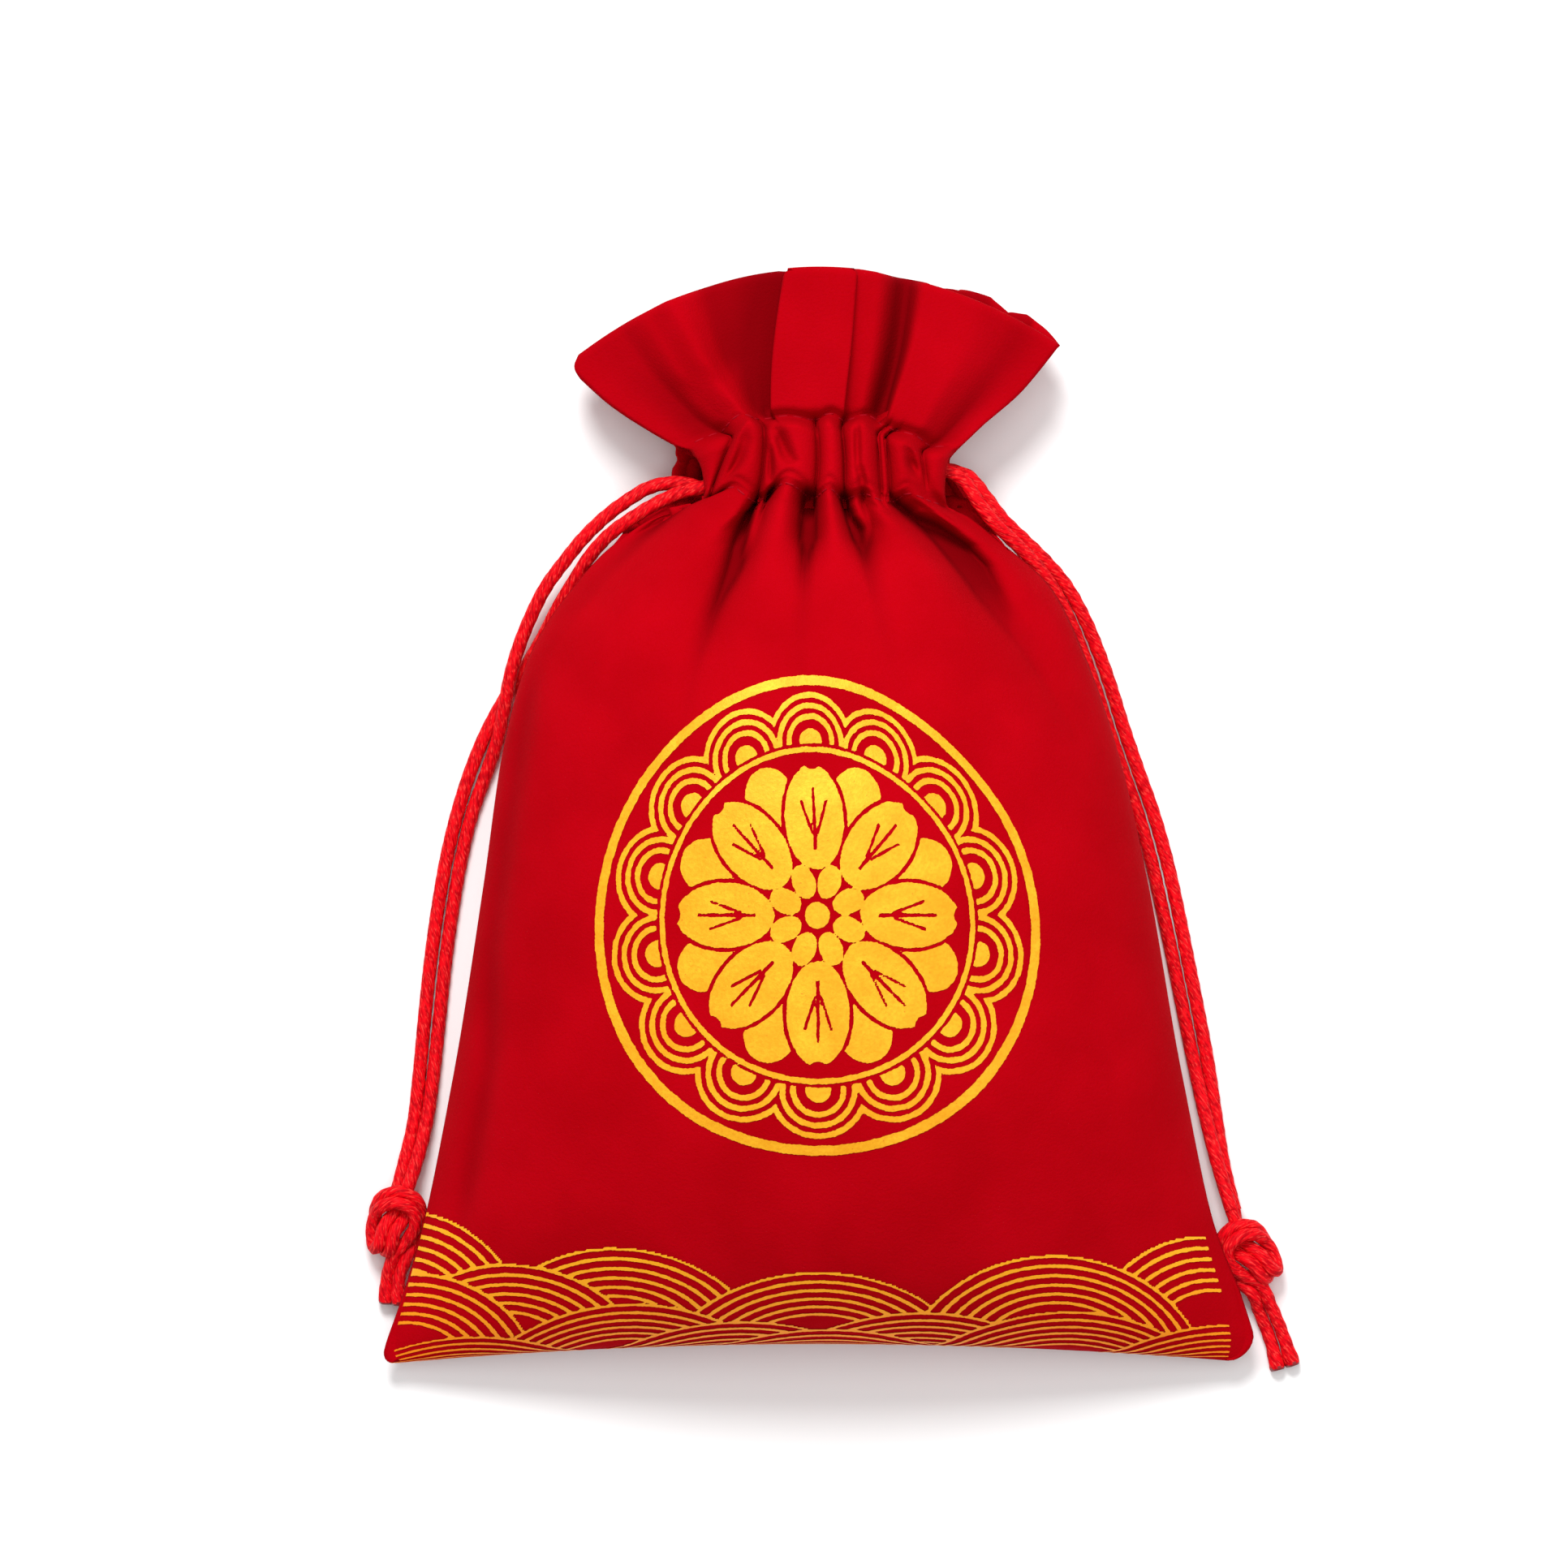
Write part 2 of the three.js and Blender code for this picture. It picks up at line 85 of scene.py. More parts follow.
lamps = [  # name, place in m, size in m, power in W
    ("key", (-0.14, 0.74, 0.96), 0.45, 12.5),
    ("top", (0.1, 0.1, 1.4), 1.0, 5.4),
    ("fill", (0.9, -0.3, 0.8), 0.8, 1.8),
]
for name, place, size, power in lamps:
    lampData = bpy.data.lights.new(name, "AREA")
    lampData.shape = "DISK"
    lampData.size = size
    lampData.energy = power
    lamp = newObject(name, lampData)
    lamp.location = place
    lamp.rotation_euler = (-Vector(place)).to_track_quat("-Z", "Y").to_euler()
sky = {"Color": (1, 1, 1, 1), "Strength": 0.47}  # even white light from all round
world = bpy.data.worlds.new("studio")
world.use_nodes = True
for key, value in sky.items():
    world.node_tree.nodes["Background"].inputs[key].default_value = value
bpy.context.scene.world = world
bpy.context.scene.view_settings.view_transform = "Standard"
print("lights placed")


def plug(tree, node, links):  # links each named socket, or sets its value
    for key, value in links.items():
        socket = node.inputs[key]
        if isinstance(value, bpy.types.NodeSocket):
            tree.links.new(value, socket)
        else:
            socket.default_value = value


def addNode(tree, kind, links=None, **settings):  # one node, its settings, and links or values by socket name
    node = tree.nodes.new(kind)
    for key, value in settings.items():
        setattr(node, key, value)
    plug(tree, node, links or {})
    return node


def newMaterial(name):
    material = bpy.data.materials.new(name)
    material.use_nodes = True
    tree = material.node_tree
    tree.nodes.clear()
    shader = addNode(tree, "ShaderNodeBsdfPrincipled")
    addNode(tree, "ShaderNodeOutputMaterial", {"Surface": shader.outputs["BSDF"]})
    return material, tree, shader


def tinted(tree, colour, value, low, high, share, tint, blend="MIX"):  # lays a tint where the value is high
    amount = addNode(tree, "ShaderNodeMapRange", {
        "Value": value, "From Min": low, "From Max": high, "To Max": share})
    sockets = {0: amount.outputs["Result"], 6: colour, 7: linear(tint)}  # by number: share, under, over
    return addNode(tree, "ShaderNodeMix", sockets, data_type="RGBA", blend_type=blend).outputs[2]


def velvetMaterial():  # short pile: matte depth, and a soft glow where it is seen along the nap
    material, tree, shader = newMaterial("red velvet")
    place = addNode(tree, "ShaderNodeTexCoord").outputs["Object"]
    brushed = addNode(tree, "ShaderNodeTexNoise", {  # where the pile leans a little otherwise
        "Vector": place, "Scale": 1 / (16.0 * mm), "Detail": 3.0}).outputs["Fac"]
    grain = addNode(tree, "ShaderNodeTexNoise", {  # tufts, coarser than real pile to be seen
        "Vector": place, "Scale": 1 / (0.42 * mm), "Detail": 2.0, "Roughness": 0.6}).outputs["Fac"]
    # mask of painted shade that each cloth carries, 0 on open cloth and 1 deep in a fold
    paintedShade = addNode(tree, "ShaderNodeAttribute", attribute_name="paintedShade").outputs["Fac"]
    colour = tinted(tree, linear("#a4000d"), brushed, 0.35, 0.68, 1.0, "#b00111")
    colour = tinted(tree, colour, grain, 0.3, 0.72, 0.38, "#b00111", "SOFT_LIGHT")
    colour = tinted(tree, colour, paintedShade, 0.0, 1.0, 0.72, "#640005")  # painted shade: darker deep in the folds and along the left side groove
    bump = addNode(tree, "ShaderNodeBump", {"Height": grain, "Strength": 0.34, "Distance": 0.26 * mm})
    plug(tree, shader, {
        "Base Color": colour, "Normal": bump.outputs["Normal"], "Roughness": 0.92, "Specular IOR Level": 0.02,
        "Sheen Weight": 0.03, "Sheen Roughness": 0.42, "Sheen Tint": linear("#e02030")})
    return material


def goldMaterial():  # screen print: flat warm gold, grainy, with the red pile just showing through
    material, tree, shader = newMaterial("gold screen print")
    place = addNode(tree, "ShaderNodeTexCoord").outputs["Object"]
    wide, grain, speck = (addNode(tree, "ShaderNodeTexNoise", {
        "Vector": place, "Scale": 1 / (size * mm), "Detail": detail, "Roughness": rough}).outputs["Fac"]
        for size, detail, rough in ((5.0, 3.0, 0.5), (0.55, 3.0, 0.65), (0.3, 1.0, 0.5)))
    height = addNode(tree, "ShaderNodeSeparateXYZ", {"Vector": place}).outputs["Y"]
    colour = tinted(tree, linear("#eca41a"), wide, 0.35, 0.7, 1.0, "#f6b826")
    colour = tinted(tree, colour, grain, 0.38, 0.7, 0.55, "#e38f10")
    colour = tinted(tree, colour, speck, 0.7, 0.82, 0.5, "#b8200f")
    colour = tinted(tree, colour, height, -50 * mm, -60 * mm, 0.8, "#ffb21c")  # fuller ink on the waves
    colour = tinted(tree, colour, height, -63 * mm, -80 * mm, 0.7, "#f06a08")  # painted shade: more orange towards the bottom, where the cloth turns away from the light
    bump = addNode(tree, "ShaderNodeBump", {"Height": grain, "Strength": 0.35, "Distance": 0.2 * mm})
    plug(tree, shader, {"Base Color": colour, "Normal": bump.outputs["Normal"], "Roughness": 0.48,
                        "Metallic": 0.18, "Specular IOR Level": 0.16})
    return material


def cordMaterial():  # satin rattail: silky yarns along the cord, with short glints painted on as highlights
    material, tree, shader = newMaterial("red satin cord")
    flat = addNode(tree, "ShaderNodeUVMap", uv_map="flat").outputs["UV"]  # mm along, turns round
    size = addNode(tree, "ShaderNodeMapping", {"Vector": flat, "Scale": (1.0, 6.28, 1.0)}).outputs["Vector"]
    lean = addNode(tree, "ShaderNodeMapping", {"Vector": size, "Rotation": (0, 0, 0.45)}).outputs["Vector"]
    streak = addNode(tree, "ShaderNodeMapping", {"Vector": lean, "Scale": (0.6, 2.4, 1.0)}).outputs["Vector"]
    yarn = addNode(tree, "ShaderNodeTexNoise", {"Vector": streak, "Scale": 1.0, "Detail": 3.0}).outputs["Fac"]
    fine = addNode(tree, "ShaderNodeTexNoise", {"Vector": streak, "Scale": 1.7, "Detail": 1.0}).outputs["Fac"]
    # yarn streaks of the cord's own tone, with painted shade in the gaps between yarns
    colour = tinted(tree, linear("#b0000f"), yarn, 0.36, 0.6, 1.0, "#ea0918")
    colour = tinted(tree, colour, fine, 0.55, 0.69, 0.7, "#ff463e")  # painted highlights: short glints on the yarns
    bump = addNode(tree, "ShaderNodeBump", {"Height": yarn, "Strength": 0.7, "Distance": 0.25 * mm})
    shine = addNode(tree, "ShaderNodeMapRange", {
        "Value": yarn, "From Min": 0.3, "From Max": 0.7, "To Min": 0.58, "To Max": 0.42})
    plug(tree, shader, {"Base Color": colour, "Normal": bump.outputs["Normal"],
                        "Roughness": shine.outputs["Result"], "Specular IOR Level": 0.05})
    return material


def plainMaterial(name, code, other, size, roughness, specular):  # two close colours in a faint mottle
    material, tree, shader = newMaterial(name)
    place = addNode(tree, "ShaderNodeTexCoord").outputs["Object"]
    mottle = addNode(tree, "ShaderNodeTexNoise", {"Vector": place, "Scale": 1 / (size * mm)}).outputs["Fac"]
    colour = tinted(tree, linear(code), mottle, 0.0, 1.0, 1.0, other)
    plug(tree, shader, {"Base Color": colour, "Roughness": roughness, "Specular IOR Level": specular})
    return material


velvet = velvetMaterial()
gold = goldMaterial()
satin = cordMaterial()
thread = plainMaterial("red sewing thread", "#a8061a", "#970518", 1.2, 0.8, 0.1)  # dull twisted yarn
cutEnd = plainMaterial("heat-cut cord end", "#8a0a14", "#7c0912", 1.2, 0.35, 0.5)  # melted, hard and glossy
paper = plainMaterial("white paper sweep", "#f6f6f6", "#f9f9f9", 60.0, 0.9, 0.5)  # even, matt, almost white
print("materials made")


def meshPiece(name, points, faces, material, uvs=None):  # points in mm, lists of faces, uvs one pair a corner
    mesh = bpy.data.meshes.new(name)
    mesh.vertices.add(len(points))
    mesh.vertices.foreach_set("co", (np.asarray(points, float) * mm).astype(np.float32).ravel())
    corners = np.concatenate([np.asarray(f, np.int32).ravel() for f in faces])
    sizes = np.concatenate([np.full(len(f), np.shape(f)[1], np.int32) for f in faces])
    mesh.loops.add(len(corners))
    mesh.loops.foreach_set("vertex_index", corners)
    mesh.polygons.add(len(sizes))
    mesh.polygons.foreach_set("loop_start", (np.cumsum(sizes) - sizes).astype(np.int32))
    if uvs is not None:
        layer = mesh.uv_layers.new(name="flat")
        layer.uv.foreach_set("vector", np.asarray(uvs, np.float32).ravel())
    mesh.update(calc_edges=True)
    mesh.validate()
    mesh.shade_smooth()
    mesh.materials.append(material)
    return newObject(name, mesh)


def belong(piece, slot, *nodes):  # rides with the bag and stands for its CAD nodes
    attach(piece, "root")
    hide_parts(*nodes)
    return piece


# the bag's sections, repeated from the part's source
sectionNames = ["y", "dropL", "dropR", "left", "right", "seam", "front", "back", "arch", "lift"]
sections = np.array([
    [-77.2, 3.3, 3.0, 64.5, 63.6, 4.0, 9.15, 8.85, 1.0, 0.0],
    [-76.6, 3.5, 3.2, 64.3, 64.3, 4.2, 14.5, 5.6, 1.0, 0.0],
    [-74.0, 3.4, 3.2, 63.6, 64.5, 4.8, 19.8, 2.6, 0.95, 0.0],
    [-68.0, 2.6, 2.6, 61.2, 62.6, 6.4, 26.3, 0.6, 0.85, 0.0],
    [-58.0, 1.5, 1.5, 57.9, 58.3, 9.0, 32.4, -0.4, 0.7, 0.0],
    [-37.0, 0.0, 0.0, 53.3, 53.4, 12.0, 38.6, -0.9, 0.58, 0.0],
    [-10.0, 0.0, 0.0, 49.0, 48.6, 13.0, 40.2, -1.0, 0.52, 0.0],
    [10.0, 0.0, 0.0, 46.1, 44.0, 13.0, 38.2, -0.7, 0.54, 0.0],
    [24.0, 0.0, 0.0, 42.2, 39.2, 12.8, 34.2, 0.3, 0.6, 0.0],
    [34.0, 0.0, 0.0, 35.8, 34.2, 12.2, 29.4, 0.8, 0.7, 0.0],
    [40.0, 0.0, 0.0, 30.2, 27.6, 11.6, 25.2, 1.4, 0.85, 0.0],
    [44.0, 0.0, 0.0, 24.2, 22.6, 11.0, 21.0, 1.8, 1.0, 0.0],
    [45.6, 0.4, 0.4, 19.4, 20.2, 10.6, 17.6, 3.4, 1.0, 0.2],
    [47.0, 1.0, 1.0, 16.9, 18.9, 10.4, 16.1, 4.7, 1.0, 0.6],
    [48.6, 1.3, 1.3, 16.8, 18.8, 10.4, 18.6, 2.2, 1.0, 2.6],
    [52.1, 2.1, 2.1, 16.8, 18.8, 10.4, 18.6, 2.2, 1.0, 2.6],
    [55.6, 3.0, 3.0, 17.6, 19.2, 10.4, 18.6, 2.2, 1.0, 2.6],
    [57.3, 3.5, 3.5, 19.2, 20.2, 10.4, 16.1, 4.7, 1.0, 1.6],
    [63.0, 6.0, 5.2, 24.4, 24.2, 10.4, 17.2, 3.8, 1.0, 1.6],
    [71.0, 9.6, 8.0, 30.6, 29.8, 10.4, 18.4, 3.0, 1.0, 1.6],
    [80.5, 13.6, 10.8, 36.2, 35.0, 10.4, 19.4, 2.2, 1.0, 1.6],
])
shape = {
    "flatHalf": 65.0, "cloth": 0.9, "edgeCloth": 1.4, "gap": 0.3, "gatherStart": -5.0, "seamFrom": 2.0,
    "closing": (41.0, 45.6), "lowStitch": 47.0, "casingMiddle": 52.1, "highStitch": 57.3, "top": 80.5,
    "tunnel": 2.7, "casingBelow": 5.1, "hemLow": 45.6, "hemBelow": 1.9, "hemInset": 3.6, "rollReach": 0.95,
}
flatMap = {"width": 2 * shape["flatHalf"], "length": 250.0}  # mm of flat cloth in the map's unit square


def flatUv(across, along):
    return across / flatMap["width"] + 0.5, along / flatMap["length"]


def tableRow(y):  # the table's own section at this Y
    return dict(zip(sectionNames, sections[np.argmin(np.abs(sections[:, 0] - y))]))


def cubic(a, b, slopeA, slopeB, t):  # from a to b, leaving and arriving along these slopes
    return a + t * (slopeA + t * ((3 * (b - a) - 2 * slopeA - slopeB) + t * (2 * (a - b) + slopeA + slopeB)))


def sectionAt(places):  # sections between the table's rows, on a curve that never overshoots
    low = np.clip(np.floor(places).astype(int), 0, len(sections) - 2)
    steps = np.diff(sections, axis=0)
    before, after = steps[:-1], steps[1:]
    same = before * after > 0
    slope = np.zeros_like(sections)
    slope[1:-1] = np.where(same, 2 * before * after / np.where(same, before + after, 1), 0)
    rows = cubic(sections[low], sections[low + 1], slope[low], slope[low + 1], (places - low)[:, None])
    return dict(zip(sectionNames, rows.T[..., None]))  # each a column, to spread over the cloth's width


def rowPlaces(crown, bodyStep, neckStep, neckFrom, neckTo):  # even steps up the middle, finer at the neck
    fine = np.linspace(0, len(sections) - 1, 8001)  # close enough to measure along
    row = sectionAt(fine)
    y, height = row["y"][:, 0], row[crown][:, 0]
    length = np.hypot(np.diff(y), np.diff(height))
    step = mix(bodyStep, neckStep, smooth(neckFrom, neckTo, y[1:]))
    count = np.concatenate([[0], np.cumsum(length / step)])
    along = np.concatenate([[0], np.cumsum(length)])
    places = np.interp(np.linspace(0, count[-1], int(round(count[-1])) + 1), count, fine)
    return places, np.interp(places, fine, along)


def halfAt(row, xi):  # half width on this side of the middle line
    return np.where(xi < 0, row["left"], row["right"])


def dropAt(row, xi):  # how far this side hangs back along Y
    return np.where(xi < 0, row["dropL"], row["dropR"])


def asShare(x, row):  # X as a share of the half width on its own side
    return x / halfAt(row, x)


def levelBetween(low, high, y):  # 0 at the lower of two levels, 1 at the upper
    return np.clip((y - shape[low]) / (shape[high] - shape[low]), 0, 1)


def baseBulge(row, xi, side):  # height of the unfolded cloth above or below the side seams
    opened = smooth(*shape["closing"], row["y"])  # the side seam is closed up to the casing
    edge = row["lift"] + (shape["edgeCloth"] + shape["gap"] / 2) * opened
    crown = side * (row["front" if side > 0 else "back"] - row["seam"])
    return edge, edge + (crown - edge) * np.maximum(1 - xi * xi, 0) ** row["arch"]


def aboveSeam(height, edge, y):  # along the neck no fold goes through the side seams
    return np.where(y > shape["seamFrom"], np.maximum(height, edge), height)


def evenXi(row, share, side):  # where evenly spaced warp lines lie across each section
    xs = -np.cos(np.linspace(0, math.pi, 601))  # closer together towards the seams
    x, z = xs * halfAt(row, xs), baseBulge(row, xs, side)[1]
    length = np.hypot(np.diff(x, axis=1), np.diff(z, axis=1))
    along = np.concatenate([np.zeros((len(x), 1)), np.cumsum(length, axis=1)], axis=1)
    return np.array([np.interp(share, a / a[-1] * 2 - 1, xs) for a in along])


def gridQuads(rows, columns, around=0):  # cells of a grid; around=1 joins its last column to the first
    r, c = np.meshgrid(np.arange(rows - 1) * columns, np.arange(columns - 1 + around), indexing="ij")
    r, c = r.ravel(), c.ravel()
    after = (c + 1) % columns
    return np.stack([r + c, r + after, r + columns + after, r + columns + c], 1)


def wallFaces(rows, columns, flip):  # quads of a closed wall: outer face, inner face, then the four rims
    back = rows * columns

    def rim(line):
        return np.stack([line[:-1], line[:-1] + back, line[1:] + back, line[1:]], 1)

    outer = gridQuads(rows, columns)
    bottom = np.arange(columns)
    left = np.arange(rows)[::-1] * columns
    faces = np.concatenate([
        outer, outer[:, ::-1] + back, rim(bottom), rim(bottom[::-1] + (rows - 1) * columns),
        rim(left), rim(left[::-1] + columns - 1)])
    return faces[:, ::-1] if flip else faces


def gridNormals(grid):
    across = np.gradient(grid, axis=1)
    along = np.gradient(grid, axis=0)
    normal = np.cross(across, along)
    return normal / np.maximum(np.linalg.norm(normal, axis=2, keepdims=True), 1e-9)


def rolledOver(outer, hem, steps):  # the cloth turned over at the ruffle's top edge, between panel and hem
    top, inside = outer[-1], hem[0]
    middle, arm = (top + inside) / 2, (top - inside) / 2
    upward = unit(outer[-1] - outer[-3])
    reach = np.linalg.norm(arm, axis=1, keepdims=True)
    angles = np.linspace(0, math.pi, steps + 2)[1:-1]
    outward = np.array([arm / reach * math.cos(a) + upward * math.sin(a) for a in angles])
    return middle + outward * reach, outward


def softened(grid, reach):  # average along the first axis with a bell of this many steps
    steps = np.arange(-3 * reach, 3 * reach + 1)
    bell = np.exp(-0.5 * (steps / reach) ** 2)
    padded = np.pad(grid, [(3 * reach, 3 * reach)] + [(0, 0)] * (grid.ndim - 1), mode="edge")
    return sum(w * padded[i:i + len(grid)] for i, w in enumerate(bell / bell.sum()))


foldShade = {  # how much painted shade a fold gets: step and reach of the averages across, reach along, depth of full shade
    "step": 0.25, "near": 14, "far": 34, "along": 4, "alongShare": 0.55, "deepest": 2.4,
    "body": (6, 28), "casing": (46.5, 48.0, 57.0, 58.5), "casingShare": 0.5, "sides": (0.82, 1.0),
}


def hollows(panel, row, xi, side):  # mask of painted shade: 0 on open cloth, 1 deep in a fold of the gathered part
    x, z = panel[:, :, 0], panel[:, :, 2] * side
    depth = np.zeros_like(z)
    for r in range(len(z)):
        order = np.argsort(x[r])
        even = np.arange(x[r].min(), x[r].max() + foldShade["step"], foldShade["step"])
        level = np.interp(even, x[r][order], z[r][order])
        around = np.maximum(softened(level, foldShade["near"]), softened(level, foldShade["far"]))
        depth[r] = np.interp(x[r], even, around) - z[r]
    depth = np.maximum(depth, foldShade["alongShare"] * (softened(z, foldShade["along"]) - z))
    weight = smooth(*foldShade["body"], row["y"])
    weight = weight * (1 - foldShade["casingShare"] * band(*foldShade["casing"], row["y"]))
    weight = weight * (1 - smooth(*foldShade["sides"], np.abs(xi)))
    return np.clip(depth / foldShade["deepest"], 0, 1) * weight


sewnCorners = [  # tip of a corner, directions of its two edges, radius of its rounding
    ((-64.5, -80.5), (0.279, 0.96), (0.995, 0.102), 1.5),
    ((64.6, -80.4), (-0.05, 1.0), (-0.995, 0.09), 4.2),
    ((-36.6, 66.5), (0.8, 0.6), (0.713, -0.70), 1.8),
]


def roundCorners(points):  # sewn corners are not sharp
    for tip, first, second, radius in sewnCorners:
        first, second = np.array(first), np.array(second)
        inward = (first + second) / np.linalg.norm(first + second)
        middle = np.array(tip) + inward * radius / math.sqrt((1 - first.dot(second)) / 2)
        arm = points[:, :2] - middle
        reach = np.linalg.norm(arm, axis=1)
        beyond = (arm @ first < 0) & (arm @ second < 0) & (reach > radius)
        points[beyond, :2] = middle + arm[beyond] * (radius / reach[beyond])[:, None]
    return points


turnedEdge = {  # rows over the edge and down the hem, Y where the casing holds it, lengths in the flat map
    "steps": 5, "hemRows": 26, "held": (55.4, 58.0), "pitch": 0.75, "hemStart": 4.5, "hemPitch": 1.4,
}
innerPlace, rimPlace = (2, 0), (4.5, 0.5)  # map places of the inner face and the rims


def clothPiece(name, panel, hem, hemNormal, side, across, along, paintedShade):  # panel, turned edge and hem
    roll, rollNormal = rolledOver(panel, hem, turnedEdge["steps"])
    outer = np.concatenate([panel, roll, hem])
    inner = outer - np.concatenate([gridNormals(panel) * side, rollNormal, hemNormal]) * shape["cloth"]
    rows, columns = outer.shape[:2]
    faces = wallFaces(rows, columns, side < 0)
    overEdge = np.arange(1, turnedEdge["steps"] + 1) * turnedEdge["pitch"]
    downHem = turnedEdge["hemStart"] + np.arange(len(hem)) * turnedEdge["hemPitch"]
    length = np.concatenate([along, along[-1] + overEdge, along[-1] + downHem])
    corner = np.stack(np.meshgrid(*flatUv(across, length)), 2).reshape(-1, 2)
    uvs = np.concatenate([corner, corner + innerPlace])[faces]
    uvs[2 * (rows - 1) * (columns - 1):] = rimPlace
    points = roundCorners(np.concatenate([outer.reshape(-1, 3), inner.reshape(-1, 3)]))
    piece = meshPiece(name, points, [faces], velvet, uvs.reshape(-1, 2))
    # painted shade mask per point, the turned edge and hem taking the last row's
    depth = np.concatenate([paintedShade, np.repeat(paintedShade[-1:], rows - len(paintedShade), 0)]).ravel()
    layer = piece.data.attributes.new("paintedShade", "FLOAT", "POINT")
    layer.data.foreach_set("value", np.concatenate([depth, depth]).astype(np.float32))
    return piece


def hemSheet(row, xi, panel, side):  # the turned-in cloth, down to just below the casing
    wanted = np.linspace(shape["top"], shape["hemLow"], turnedEdge["hemRows"])
    pick = np.array([np.argmin(np.abs(row["y"] - w)) for w in wanted])
    part = {name: values[pick] for name, values in row.items()}
    seam = part["seam"]
    held = 1 - smooth(*turnedEdge["held"], part["y"])
    hemXi = xi[pick] * (1 - held * shape["hemInset"] / halfAt(part, xi[pick]))
    base = baseBulge(part, hemXi, side)[1] - shape["casingBelow"]
    casing = np.stack([hemXi * halfAt(part, hemXi), part["y"] - dropAt(part, hemXi) * hemXi ** 2,
                       seam + side * base], 2)
    normal = mix(gridNormals(panel)[pick], np.array([0.0, 0.0, 1.0]), held[..., None]) * -side
    hem = mix(panel[pick] + normal * shape["hemBelow"], casing, held[..., None])
    hem[..., 2] = seam + side * np.maximum(side * (hem[..., 2] - seam), shape["gap"] / 2)
    return hem, unit(normal)


def sewnCloth(name, laid, side, extraPaintedShade=0):  # one cloth, laid out by its sheet function
    row, xi, panel = laid["row"], laid["xi"], laid["panel"]
    # painted shade of the folds, plus any extra painted shade
    paintedShade = hollows(panel, row, xi, side) + extraPaintedShade
    hem, hemNormal = hemSheet(row, xi, panel, side)
    piece = clothPiece(name, panel, hem, hemNormal, side, laid["flat"], laid["along"], paintedShade)
    return piece


def spread(stops, counts):  # columns at all stops, and at least this many steps from one to the next
    columns = [stops[0]]
    for a, b, count in zip(stops[:-1], stops[1:], counts):
        columns.extend(np.linspace(a, b, int(max(2, math.ceil(count))) + 1)[1:])
    return np.array(columns)


# front cloth: casing ribs and ruffle pleats seen in the photo
ribs = {  # seams between the ribs: flat place, then X at the low stitch, the middle and the high stitch
    "flat": [-65.0, -53.0, -28.8, 0.4, 14.2, 32.9, 38.0, 57.3, 65.0],
    "low": [-16.9, -16.0, -9.0, -0.4, 3.8, 9.4, 10.6, 16.1, 18.9],
    "middle": [-16.8, -14.5, -7.9, 0.1, 3.9, 9.0, 10.4, 15.7, 18.8],
    "high": [-18.6, -12.1, -7.9, -0.2, 3.4, 8.8, 9.8, 15.2, 20.0],
    "height": [0.8, 3.0, 3.0, 2.6, 2.8, 1.0, 2.7, 1.7],
}
ribShape = {  # the bands are the parts of Y where crests and valleys show; grooves: Y, half width, depth
    "lift": 1.0, "valley": 1.5, "round": 0.5, "crown": 18.6, "crestBand": (45.8, 49.4, 56.4, 58.8),
    "valleyBand": (44.6, 47.4, 57.2, 60.5), "grooves": [(46.9, 0.7, 0.6), (58.4, 0.7, 0.4)],
    "dimpleEnds": (0.08, 0.92), "dimpleRound": 0.4,
}
dimples = [  # short hollows on the ribs: X, Y of both ends, half width, depth
    (-10.6, 54.2, -13.0, 49.6, 1.0, 2.2), (-6.0, 56.2, -3.9, 51.4, 0.9, 2.8),
    (-6.9, 53.5, -6.8, 49.0, 0.5, 1.8), (6.3, 50.4, 6.6, 47.4, 0.6, 2.0),
    (13.6, 55.2, 14.2, 51.0, 0.9, 2.8), (5.7, 56.6, 5.9, 50.5, 0.5, 1.4),
]
stitchShift = {  # how far each stitch line strays along Y, by flat place, and the bands of Y that follow
    "lowBand": (36, 46, 48, 54), "highBand": (50, 56, 58, 72),
    "flat": [-65, -53, -41, -28.8, -14, 0.4, 7, 14.2, 24, 33, 38, 48, 57.3, 65],
    "low": [0.0, 0.2, 2.2, 0.0, 2.3, 0.3, 1.5, 0.1, 0.9, 0.0, 0.0, 1.4, 0.2, 0.0],
    "high": [0.0, 0.4, 2.3, 0.9, 0.9, 0.2, 1.0, 0.2, 1.3, 0.0, -0.2, -0.3, -1.2, 0.0],
}
ruffle = {"across": 0.7, "up": 0.8, "opening": (56.4, 59.6), "rising": (57.0, 59.8)}  # how it fans out
pleats = {  # lines of the ruffle, left to right: flat place, then X and height at the casing and at the top
    "flat": [-65, -52.2, -45.6, -35.6, -27.4, -19.6, -18.2, 12.2, 13.6, 20.2, 28.2, 31.2, 46.6, 59.0, 65],
    "xLow": [-19.2, -14.5, -12.6, -9.6, -8.0, -7.15, -7.0, 3.6, 3.75, 6.2, 9.4, 9.8, 14.0, 17.2, 20.2],
    "xTop": [-36.2, -28.6, -24.8, -21.4, -15.4, -5.05, -4.85, 5.65, 5.85, 8.8, 13.0, 15.8, 23.4, 31.0, 35.0],
    "zLow": [0.0, -1.7, 2.2, 3.2, -1.6, -2.4, 3.2, 3.1, 0.6, 1.8, -2.8, 3.4, 3.2, -1.3, 0.0],
    "zTop": [0.0, -0.1, 1.5, 2.6, -2.8, -3.6, 2.4, 2.3, 0.9, 0.6, -3.6, 0.5, 1.4, -0.3, 0.0],
}
# soft groove inside the left edge: X by Y, depth, half width and span; shade is the share of painted shade
# laid along it
sideGroove = {"y": [-62, -36, -19, -4, 8, 23], "x": [-53.0, -48.0, -47.6, -45.6, -43.8, -41.4], "depth": 1.3,
              "half": 1.6, "span": (-66, -50, 16, 24), "shade": 0.4}
ridgeShape = {"round": 0.7, "before": 6, "after": 4, "sides": (0.78, 1.0), "end": (46.8, 48.6)}
